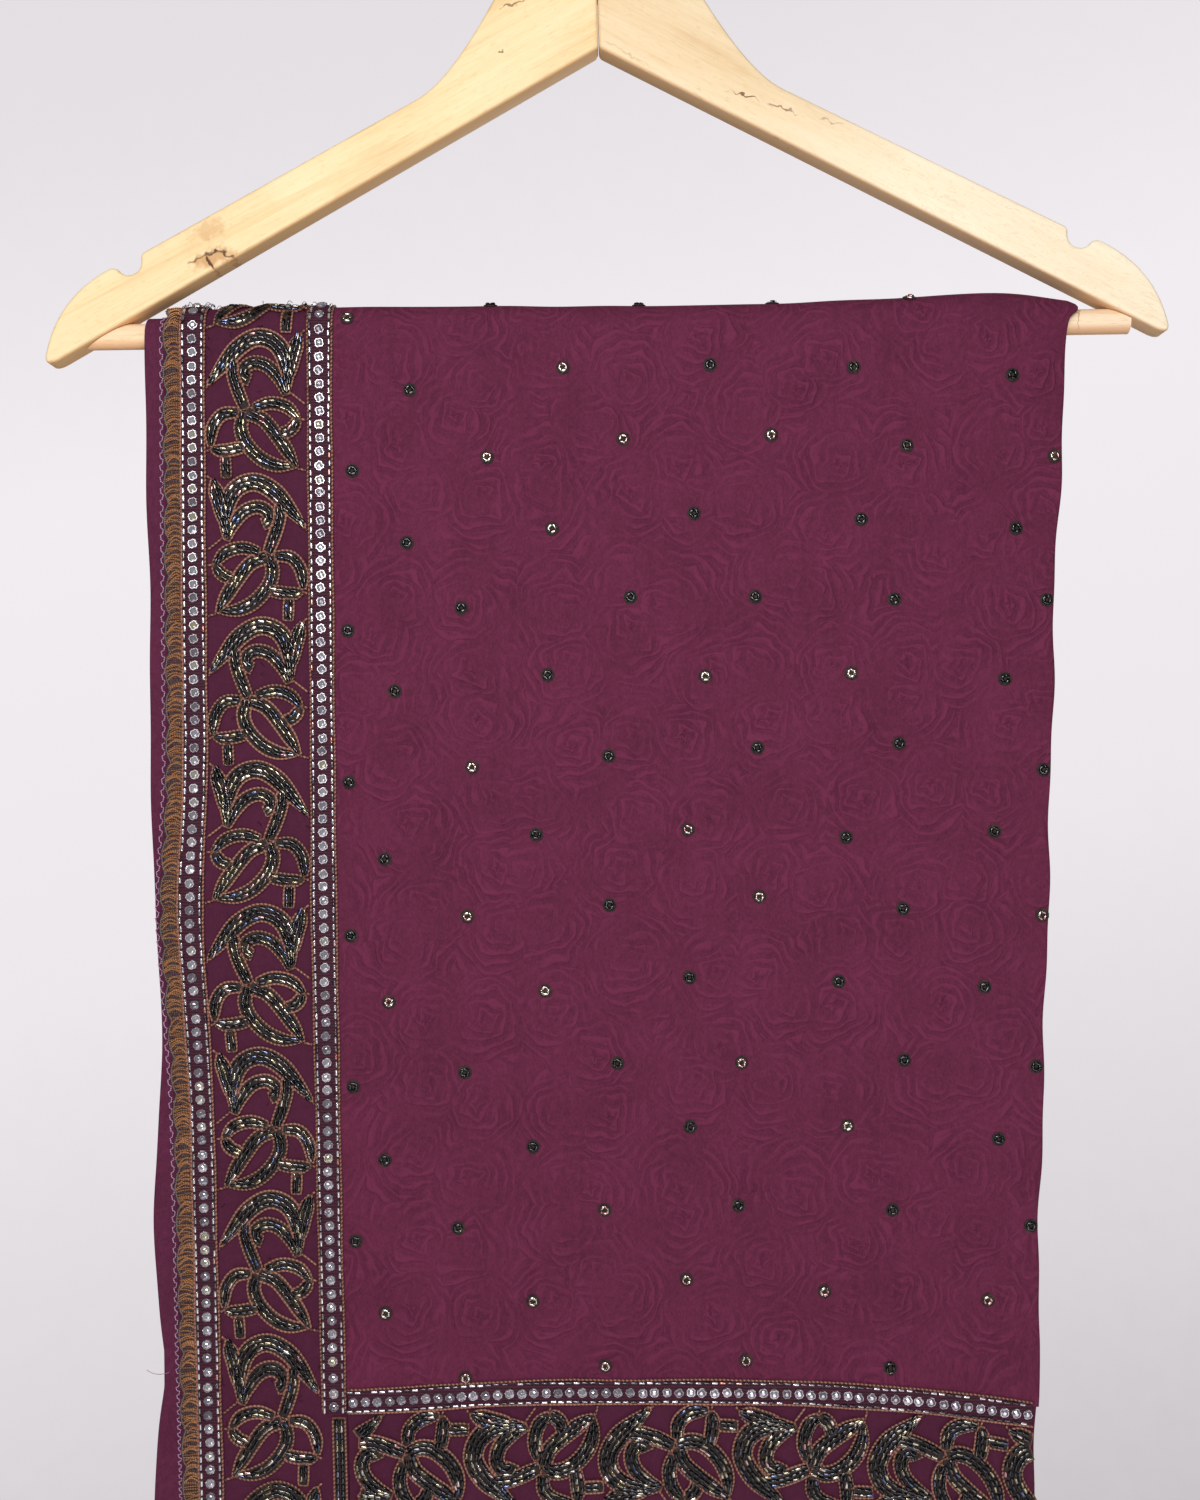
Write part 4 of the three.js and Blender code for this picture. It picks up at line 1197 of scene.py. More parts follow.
def hem_cell(repeat):
    """Maps a half-repeat's across, down and height to a place on the hem's border."""
    mirrored = repeat % 2 == 1

    def flat(across, down):
        across = BAND_WIDTH - across if mirrored else across
        x = FIRST_CREST["hem_x"] + repeat * REPEAT["hem"] + down * REPEAT["hem"] / REPEAT["side"]
        return x, HEM_BAND_TOP + BAND_WIDTH - across

    def place(across, down, height):
        return on_hem(*flat(across, down), height)

    def inside(across, down):
        x, below = flat(across, down)
        return (x > hem_start(below) + CLEAR["seam"]) & (x < hem_stop(below) - CLEAR["fold"])

    return place, inside


def stroke_width(stroke, count):
    """The stroke's width along it, drawn in towards its ends."""
    at = np.linspace(0, 1, count)
    first, last = stroke["ends"]
    start = first + (1 - first) * np.sin(np.clip(at / TAPER, 0, 1) * math.pi / 2)
    stop = last + (1 - last) * np.sin(np.clip((1 - at) / TAPER, 0, 1) * math.pi / 2)
    return stroke["width"] * np.minimum(start, stop)


def kept_stretches(mask, least):
    """Start and end of each stretch of True values that is long enough."""
    edges = np.flatnonzero(np.diff(np.concatenate([[0], mask.astype(int), [0]])))
    return [(a, b) for a, b in zip(edges[::2], edges[1::2]) if b - a >= least]


STROKE_STEP = 1.35
GROUND_PROFILE = [(-0.5, 0.0), (-0.5, 0.45), (-0.3, 0.85), (0.3, 0.85), (0.5, 0.45), (0.5, 0.0)]
FLASHES = {"side": 1.4, "hem": 2.3}  # the higher, the fewer bright beads; the hem's higher value is painted shade
BEAD_SEAT = 0.72  # height of the bead's middle above the border's ground
CORD_SEAT = 0.42
CORD_SIDES = 5
HEM_BAND_TOP = 11.2  # inner rail of the hem's cutwork, below the border's top
# How far the cutwork stays inside the cloth's ends, seam and fold.
CLEAR = {"end": 51.0, "foot": 4.0, "seam": 3.5, "fold": 1.2}
TAPER = 0.32  # share of a stroke's length over which an end is drawn in


def stroke_parts(stroke, place, inside, broader, sizes):
    """The ground, cords and bead places of one stroke in one half-repeat."""
    line = smooth_line(stroke["line"], STROKE_STEP)
    width = stroke_width(stroke, len(line)) * broader
    along = unit(np.gradient(line, axis=0))
    aside = np.stack([along[:, 1], -along[:, 0]], -1)
    grounds, cords, beads = [], [], []
    for a, b in kept_stretches(inside(line[:, 0], line[:, 1]), 3):
        middle, wide, side = line[a:b], width[a:b], aside[a:b]
        offsets = np.array(GROUND_PROFILE)
        flat = middle[:, None] + side[:, None] * (offsets[None, :, :1] * wide[:, None, None])
        height = np.broadcast_to(offsets[:, 1], flat.shape[:2])
        points = place(flat[..., 0], flat[..., 1], height)
        grounds.append(faced_out(capped(points)))
        edge = wide[:, None] / 2 + sizes["cord"] * 0.35
        loop = np.vstack([middle + side * edge, (middle - side * edge)[::-1]])
        cords.append(cord_on(place, loop, sizes, closed=True, tone=rng.random()))
        beads += bead_rows(stroke["width"] * broader, middle, wide, side, sizes)
    ends = [np.array(v) for v in zip(*beads)] if beads else None
    return grounds, cords, ends


def cord_on(place, line, sizes, **options):
    """A copper cord sewn down along a line of the border."""
    return thread_on(place, *line.T, CORD_SEAT, sizes["cord"] / 2, CORD_SIDES, **options)


def bead_rows(full_width, middle, wide, side, sizes):
    """Start and end of each bead of a stroke, in the half-repeat's own plane."""
    reached = travelled(middle)
    spacing = sizes["bugle_width"] * 1.02
    pitch = sizes["bugle_length"] * 1.2
    found = []
    skew = sizes["bugle_width"] * 0.09
    rows = round(full_width / LANE)
    for row in range(rows):
        lane = (row - (rows - 1) / 2) * spacing
        offset = lane * np.clip(wide / full_width, 0.35, 1)[:, None] * 1.15
        path = middle + side * offset
        room = wide / 2 + 0.35 > abs(lane) * 0.6
        at = rng.random() * 0.8 * pitch + 0.3
        while at + sizes["bugle_length"] < reached[-1] + 0.2:
            ends = [[np.interp(t, reached, path[:, k]) for k in (0, 1)]
                    for t in (at, at + sizes["bugle_length"])]
            if np.interp(at, reached, room.astype(float)) > 0.5:
                found.append(np.array(ends) + rng.normal(0, skew, (2, 2)))
            at += pitch * rng.uniform(0.97, 1.08)
    return found


def bead_shape(width, length_mm, sides=6):
    """One glass bead along Y: a cylinder drawn in at both ends, as cut and fired glass is."""
    shoulder = length_mm * 0.12
    obj = cylinder(
        sides, width / 2, length_mm - 2 * shoulder, rotation=(math.pi / 2, 0, 0))
    editing(obj)
    for end in (-1, 1):
        select_faces(obj, facing(1, end))
        raised((0, end * shoulder, 0), 0.91)
    bpy.ops.object.mode_set(mode="OBJECT")
    return as_shape(obj)


def set_beads(model, starts, ends, outs, tones=None, roll=None):
    """Beads between pairs of points, upright on the surface."""
    along = unit(ends - starts)
    sideways = unit(np.cross(along, outs))
    out = np.cross(sideways, along)
    if roll is not None:
        c, s = np.cos(roll)[:, None], np.sin(roll)[:, None]
        sideways, out = c * sideways + s * out, c * out - s * sideways
    return stamped(model, (starts + ends) / 2, sideways, along, out, tones)


def cutwork_stretch(cells, broader, sizes, bead):
    """Ground, cords and beads of a run of half-repeats."""
    grounds, cords, sewn = [], [], []
    for place, inside in cells:
        for stroke in STROKES:
            ground, cord, ends = stroke_parts(stroke, place, inside, broader, sizes)
            grounds += ground
            cords += cord
            if ends is None:
                continue
            (a0, d0), (a1, d1) = ends[0].T, ends[1].T
            lift = BEAD_SEAT + rng.uniform(-0.1, 0.14, (2, len(a0)))
            start, end = place(a0, d0, lift[0]), place(a1, d1, lift[1])
            out = place(a0, d0, lift[0] + 1) - start
            roll = rng.uniform(0, math.pi / 3, len(a0))
            # The hem's beads get fewer bright tones: painted shade.
            tones = rng.random(len(a0)) ** FLASHES["side" if broader == 1 else "hem"]
            sewn.append(set_beads(bead, start, end, out, tones, roll))
        for bridge in BRIDGES:
            line = smooth_line(bridge, 1.2)
            if inside(*line.T).all():
                cords.append(cord_on(place, line, sizes, tone=rng.random()))
    return joined(grounds), joined(cords), joined(sewn)


# --------------------------------------------------------------------------- operators


class StepOperator(bpy.types.Operator):
    """Base of the steps: each builds its pieces and finishes."""

    bl_options = {"REGISTER", "UNDO"}

    def execute(self, context):
        self.build(context.scene)
        return {"FINISHED"}


class SAREE_OT_stage(StepOperator):
    """Camera, soft studio light, pale backdrop and floor."""

    bl_idname = "saree.stage"
    bl_label = "Stage"

    LOOKS_AT = (4.0, -8.0, -398.4)  # where the camera's axis meets the cloth, in mm
    LIT_AT = (0.0, 0.0, -0.42)  # where the lights aim, in metres

    def build(self, scene):
        settings = scene.saree_stage
        scene.view_settings.view_transform = "Standard"
        self.camera(scene, settings)
        self.world(scene, settings)
        # Each light's name, place and width in metres, and power in watts.
        for light in (
            ("key_light", (-0.65, -1.4, 0.5), 0.5, settings.key_power),
            ("front_light", (-0.08, -1.02, -0.12), 0.36, settings.front_power),
            ("fill_light", (0.45, -1.1, -1.25), 0.9, settings.fill_power),
            ("back_light", (0.5, 1.5, 0.2), 1.2, settings.back_power),
            ("glint_left", (-0.17, -0.86, -0.2), 0.05, settings.glint_power),
            ("glint_right", (0.22, -0.9, -0.3), 0.05, settings.glint_power),
            ("glint_low", (0.0, -0.92, -0.62), 0.05, settings.glint_power),
        ):
            self.light(*light)
        self.floor(settings)

    def camera(self, scene, settings):
        data = bpy.data.cameras.new("camera")
        data.lens, data.sensor_width = settings.lens, 36
        camera = scene.camera = put("camera", data)
        x, front, z = (v * MM for v in self.LOOKS_AT)
        camera.location = (x, front - settings.distance, z)
        camera.rotation_euler = (math.pi / 2, 0, 0)

    def world(self, scene, settings):
        """A pale room: its seen wall is darkest low down, its light is even."""
        world = bpy.data.worlds.new("pale_room")
        world.use_nodes = True
        world.node_tree.nodes.clear()
        room = NodeTree(world.node_tree)
        direction = room.add("ShaderNodeTexCoord", output="Generated")
        x, _, z = room.parts(direction)
        paper = room.noise(direction, 70, 3) - 0.5
        height = z * 0.5 + 0.5 - x * 0.1 + paper * 0.02
        pale = tuple(settings.backdrop)
        wall = room.colour_ramp(height, [
            (0.25, lighter(pale, 0.64)), (0.34, lighter(pale, 0.82)), (0.46, lighter(pale, 0.98)),
            (0.6, lighter(pale, 1.03)), (0.7, lighter(pale, 0.91)), (0.9, lighter(pale, 0.82))])
        seen = room.add("ShaderNodeBackground", None, {"Color": wall})
        around, mirrored = (
            room.add("ShaderNodeBackground", None, {
                "Color": (0.95, 0.97, 1.0), "Strength": settings.ambient * share})
            for share in (1, 0.3))
        glossy = room.add("ShaderNodeLightPath", output="Is Glossy Ray")
        around = room.add("ShaderNodeMixShader", None, {0: glossy, 1: around, 2: mirrored})
        camera_ray = room.add("ShaderNodeLightPath", output="Is Camera Ray")
        choice = room.add("ShaderNodeMixShader", None, {0: camera_ray, 1: around, 2: seen})
        room.add("ShaderNodeOutputWorld", None, {0: choice}, output=None)
        scene.world = world

    def light(self, name, place, size, power):
        data = bpy.data.lights.new(name, "AREA")
        data.size, data.energy = size, power
        lamp = put(name, data)
        lamp.location = place
        aim = np.array(self.LIT_AT) - np.array(place)
        lamp.rotation_euler = (
            math.acos(-aim[2] / np.linalg.norm(aim)), 0, math.atan2(aim[1], aim[0]) - math.pi / 2)

    def floor(self, settings):
        bpy.ops.object.select_all(action="DESELECT")
        bpy.ops.mesh.primitive_cylinder_add(
            vertices=96, radius=0.42, depth=0.02, location=(0, 0, -settings.floor_drop - 0.01))
        floor = bpy.context.object
        floor.name = "floor"
        finish = Finish("pale_floor")
        speckle = finish.noise(finish.place(), 40, 2)
        pale = tuple(settings.backdrop)
        floor.data.materials.append(finish.shade(
            base_color=finish.mix(speckle, lighter(pale, 0.97), pale), roughness=0.8))


class SAREE_OT_hanger(StepOperator):
    """The two arms, the bar between them and the hook."""

    bl_idname = "saree.hanger"
    bl_label = "Hanger"

    def build(self, scene):
        shades = colours()
        knot, streak, dot = srgb(186, 128, 66), srgb(122, 84, 52), srgb(110, 74, 46)
        crack = srgb(92, 54, 26)
        # Each mark's x and z, half length and width, lean in degrees, colour and strength.
        left_marks = [
            (-150.8, -192.0, 9.5, 5.6, 28, knot, 0.42),
            (-149.0, -203.4, 11.0, 4.4, 16, knot, 0.7),
            (-155.2, -203.6, 5.4, 0.75, 30, streak, 0.9),
            (-150.4, -205.4, 5.6, 1.0, -58, crack, 1.0),
            (-149.2, -201.3, 5.6, 0.95, 10, crack, 1.0),
            (-144.6, -202.2, 3.6, 0.95, -30, crack, 0.95),
            (-141.6, -203.6, 2.8, 0.75, -32, streak, 0.95),
            (-30.0, -102.6, 7.5, 0.55, 20, streak, 0.8),
            (-35.0, -122.2, 0.9, 0.8, 0, dot, 0.9),
        ]
        right_marks = [
            (61.5, -139.0, 8.0, 0.55, -14, streak, 0.95),
            (76.5, -144.3, 7.5, 0.6, -16, streak, 0.8),
            (96.0, -149.6, 6.5, 0.45, -16, streak, 0.45),
            (73.0, -156.5, 17.0, 0.6, -27, streak, 0.65),
            (14.0, -122.0, 14.0, 0.5, -30, knot, 0.35),
        ]
        slope = math.atan(HANGER["slope"])
        # The right arm is given a darker birch than the left one: painted shade.
        left = tinted(shades.birch, 0.93, 0.885, 0.83)
        right = tinted(shades.birch, 0.845, 0.82, 0.85)
        make_arm("arm_board_left", -1, wood("birch_left", left, slope, left_marks))
        make_arm("arm_board_right", 1, wood(
            "birch_right", right, -slope, right_marks, crackle=True))
        self.bar(shades)
        self.hook()

    def bar(self, shades):
        """A dowel whose ends are cut to the undersides of the arms."""
        length_mm = BAR["right"] - BAR["left"]
        middle = (BAR["right"] + BAR["left"]) / 2
        obj = cylinder(
            48, BAR_RADIUS, length_mm, (middle, 0, bar_z(middle)), (0, math.pi / 2 - BAR_TILT, 0))
        obj.name = "hanger_dowel"
        under = HANGER["corner_z"] - BAR["clear"] * 1.15
        for side in (-1, 1):
            corner = tilted(0, under)
            far = tilted(side * 200, under - 200 * HANGER["slope"])
            along = np.array([far[0] - corner[0], 0, far[1] - corner[1]])
            normal = np.cross(along, (0, side, 0))
            normal = normal * (-1 if normal[2] < 0 else 1) / np.linalg.norm(normal)
            editing(obj)
            bpy.ops.mesh.select_all(action="SELECT")
            bpy.ops.mesh.bisect(
                plane_co=(corner[0] * MM, 0, corner[1] * MM), plane_no=tuple(normal),
                use_fill=True, clear_outer=True)
            bpy.ops.object.mode_set(mode="OBJECT")
        rounded(obj, 0.4, 2, 40)
        ring_x = BAR["ring_x"]
        marks = [(ring_x, float(bar_z(ring_x)), 0.35, 7, 0, srgb(150, 112, 78), 0.6)]
        finish_piece(
            obj, wood("dowel_wood", tuple(shades.dowel), 0.0, marks), ["hanger_bar"],
            smooth=35)

    def hook(self):
        """A bent wire with a small ball at its tip."""
        line = bpy.data.curves.new("hook_line", "CURVE")
        line.dimensions = "3D"
        line.bevel_depth, line.bevel_resolution = HOOK["wire"] / 2 * MM, 5
        line.use_fill_caps = True
        path = hook_path()
        spline = line.splines.new("POLY")
        spline.points.add(len(path) - 1)
        for point, (x, z) in zip(spline.points, path):
            point.co = (x * MM, 0, z * MM, 1)
        obj = put("hook_wire", line)
        pick(obj)
        bpy.ops.object.convert(target="MESH")
        obj = bpy.context.object
        bpy.ops.object.select_all(action="DESELECT")
        x, z = path[0]
        bpy.ops.mesh.primitive_uv_sphere_add(
            segments=20, ring_count=12, radius=HOOK["wire"] / 2 * MM * 1.12,
            location=(x * MM, 0, z * MM))
        obj.select_set(True)
        bpy.context.view_layer.objects.active = obj
        bpy.ops.object.join()
        finish_piece(obj, polished_steel(), ["hanger_hook"], smooth=60)


class SAREE_OT_plies(StepOperator):
    """The hidden passes of the folded saree, whose edges show."""

    bl_idname = "saree.plies"
    bl_label = "Folded plies"

    PAIRS = 4

    def build(self, scene):
        sizes = sizes_mm()
        # The folded plies take the field's wine at 0.82 of its brightness: painted shade, as they
        # lie inside the fold.
        material = georgette("georgette_plies", lighter(tuple(colours().wine), 0.82), 0.6)
        radii = np.linspace(PLIES_INSIDE + 0.3, PLIES_OUTSIDE - 0.25, 2 * self.PAIRS)
        for pair in range(self.PAIRS):
            low, high = radii[2 * pair], radii[2 * pair + 1]
            in_left = rng.uniform(0.0, 2.6, 2)
            in_right = 3.3 + 1.1 * pair * (0.5 + 0.5 * rng.random())

            def profile(run, low=low, high=high, in_left=in_left, in_right=in_right):
                left = float(border_x(-64.4, run))
                wave = 0.5 * math.sin(run / 26 + low * 5)
                edge = float(right_x(run)) - in_right + wave
                arc_x, arc_r = fold_arc(edge, high, low)
                tail = np.linspace(0, 1, 9)[:-1] ** 0.7
                upper, lower = (
                    start + (end_x - start) * tail
                    for start, end_x in (
                        (left + in_left[0] + wave, arc_x[0]),
                        (left + in_left[1] - wave, arc_x[-1])))
                return (np.concatenate([upper, arc_x, lower[::-1]]),
                        np.concatenate([np.full(8, high), arc_r, np.full(8, low)]))

            end = -(FIELD_DEPTH + HEM_TOP_Z - PLIES_FRONT_END_Z) + rng.uniform(1.0, 5.0)
            runs = run_steps(end, FOOT_RUN - 1.5, 11, 2.6, 14)
            shape, width, length_mm = bent_sheet(profile, runs, sizes["cloth"] * 0.5)
            obj = piece(
                f"folded_ply_{pair + 1}", shape, material, ["saree_inner_plies"],
                smooth=60)
            declare_sheet(obj, width, length_mm)


class SAREE_OT_field(StepOperator):
    """The plain, embossed field from the hem's border over the bar to the foot of the back."""

    bl_idname = "saree.field"
    bl_label = "Field"

    COLUMNS = 96  # of its mesh, from the seam to the fold
    FOLD = 2.1  # thickness of the bundle inside the right-hand fold
    UNDER_BORDER = 3.0
    RETURN = 2.6  # of the folded edge, short of the plies' own folds

    def profile(self, run):
        left = float(seam_x(run)) - self.UNDER_BORDER
        edge = float(right_x(run))
        arc_x, arc_r = fold_arc(edge, FIELD_TOP - HALF_CLOTH, FIELD_TOP - HALF_CLOTH - self.FOLD)
        flat = np.linspace(left, arc_x[0], self.COLUMNS)[:-1]
        back = np.linspace(arc_x[-1], edge - self.RETURN, 4)[1:]
        level = FIELD_TOP - HALF_CLOTH + 0.036 * np.sin(flat / 5.1 + run / 13)
        return (np.concatenate([flat, arc_x, back]),
                np.concatenate([level, arc_r, np.full(3, arc_r[-1])]))

    def build(self, scene):
        sizes = sizes_mm()
        runs = run_steps(-(FIELD_DEPTH + 2.0), TUCK_END, 3.0, 1.3, 5.0)
        shape, width, length_mm = bent_sheet(self.profile, runs, sizes["cloth"])
        obj = piece(
            "field_cloth", shape, georgette("georgette_field", tuple(colours().wine)),
            ["saree_field_front", "saree_field_over_bar", "saree_field_back"], smooth=70)
        declare_sheet(obj, width, length_mm)


class SAREE_OT_backing(StepOperator):
    """The cloth behind the borders, with the free strip along the outer edge."""

    bl_idname = "saree.backing"
    bl_label = "Border backing"

    FREE_COLUMNS = 13  # of its mesh, left of the trims
    UNDER_FIELD = 0.6  # how far the edge that is sewn under the field lies below the ground

    def side_profile(self, run):
        seam, left = float(seam_x(run)), float(left_x(run))
        # The strip's own folded edge, then up the step and on under the border.
        fold_r = BACKING_TOP - STRIP_STEP["drop"]
        turn = np.linspace(-math.pi / 2, math.pi / 2, 5)
        arc_x = left + 0.35 - 0.35 * np.cos(turn)
        arc_r = fold_r - 0.5 + 0.35 * np.sin(turn)
        low, high = (float(border_x(STRIP_STEP[key], run)) for key in ("low", "high"))
        strip = np.linspace(left + 0.6, low - 0.4, 4)
        step = np.linspace(low, high, 6)
        rise = STRIP_STEP["drop"] * smoothstep((step - low) / (high - low))
        under = np.linspace(high, seam - 0.2, 15)[1:]
        x = np.concatenate([[left + 5.5], arc_x, strip, step, under])
        radius = np.concatenate([
            [arc_r[0]], arc_r, np.full(4, fold_r - HALF_CLOTH), fold_r - HALF_CLOTH + rise,
            np.full(13, BACKING_TOP - HALF_CLOTH), [BACKING_TOP - self.UNDER_FIELD]])
        return x, radius

    def hem_profile(self, run):
        seam, edge = float(seam_x(run)), float(right_x(run)) - HEM_CLEAR
        x = np.linspace(seam + 0.2, edge, 70)
        return x, np.full(70, PLIES_OUTSIDE + 0.75)

    def build(self, scene):
        sizes = sizes_mm()
        material = georgette("georgette_border", tuple(colours().border), 0.25, shadow=0.52)
        foot = -(FIELD_DEPTH + HEM_END)
        runs = run_steps(foot, TUCK_END, 3.5, 1.5, 6)
        shape, width, length_mm = bent_sheet(self.side_profile, runs, sizes["cloth"])
        # The tone is 1 under the cutwork band and 0 on the free strip: under the band the
        # georgette's shadow paints the band's shade on the cloth.
        columns = len(shape.points) // (2 * len(runs))
        under = np.clip((np.arange(columns) - self.FREE_COLUMNS) / 2, 0, 1)
        shape.tone = np.tile(under, 2 * len(runs))
        side = piece("side_backing_cloth", shape, material, [
            "border_backing_front", "border_backing_over_bar", "border_backing_back"], smooth=70)
        declare_sheet(side, width, length_mm)
        runs = np.arange(foot, -FIELD_DEPTH, 3.5)
        shape, width, length_mm = bent_sheet(self.hem_profile, runs, sizes["cloth"])
        # The hem's backing lies wholly under its band, so all of it gets the painted shadow.
        shape.tone[:] = 1
        hem = piece(
            "hem_backing_cloth", shape, material, ["border_backing_hem"], smooth=70)
        declare_sheet(hem, width, length_mm)


class SAREE_OT_cutwork(StepOperator):
    """Scrolls and leaves in bugle beads, outlined with copper cord."""

    bl_idname = "saree.cutwork"
    bl_label = "Cutwork"

    def build(self, scene):
        sizes = sizes_mm()
        bead = bead_shape(sizes["bugle_width"], sizes["bugle_length"])
        glass, ground = bugle_glass(), cutwork_ground()
        cord = twisted_thread("copper_cord", tuple(colours().copper), 1.6)
        front = [side_cell(k) for k in SIDE_REPEATS if k >= 0]
        back = [side_cell(k) for k in SIDE_REPEATS if k < 0]
        hem = [hem_cell(k) for k in HEM_REPEATS]
        stretches = {
            "front": (front, ["cutwork_front"]),
            "back": (back, ["cutwork_over_bar", "cutwork_back"]),
            "hem": (hem, ["cutwork_hem"]),
        }
        for name, (cells, nodes) in stretches.items():
            broader = BROADER["hem" if name == "hem" else "side"]
            grounds, cords, beads = cutwork_stretch(cells, broader, sizes, bead)
            if name == "hem":
                grounds, cords, beads = self.with_corner_bar(grounds, cords, beads, bead, sizes)
            piece(f"cutwork_ground_{name}", grounds, ground, nodes, smooth=60)
            piece(f"cutwork_cord_{name}", cords, cord)
            piece(f"bugle_beads_{name}", beads, glass, smooth=61)

    def with_corner_bar(self, grounds, cords, beads, bead, sizes):
        """The upright bar of beads in the corner between the two borders."""
        below = np.arange(CORNER_BAR["top"], CORNER_BAR["foot"], 1.5)
        half = CORNER_BAR["width"] / 2
        profile = np.array(GROUND_PROFILE)

        def place(across, down, height):
            return on_side(across, -(FIELD_DEPTH + down), height)

        flat_x = CORNER_BAR["across"] + profile[:, 0] * CORNER_BAR["width"]
        rings = place(flat_x[None], below[:, None], profile[None, :, 1])
        loop_x = np.repeat(CORNER_BAR["across"] + np.array([half + 0.3, -half - 0.3]), len(below))
        loop = np.stack([loop_x, np.concatenate([below, below[::-1]])], -1)
        starts = np.arange(below[0] + 0.5, below[-1] - 2, sizes["bugle_length"] * 1.1)
        rows = []
        for lane in (-1.0, 1.0):
            across = np.full(len(starts), CORNER_BAR["across"] + lane)
            a = place(across, starts, BEAD_SEAT)
            b = place(across, starts + sizes["bugle_length"], BEAD_SEAT)
            rows.append(set_beads(bead, a, b, place(across, starts, BEAD_SEAT + 1) - a))
        return (
            joined([grounds, faced_out(capped(rings))]),
            joined([cords, cord_on(place, loop, sizes, closed=True, tone=0.5)]),
            joined([beads, *rows]),
        )


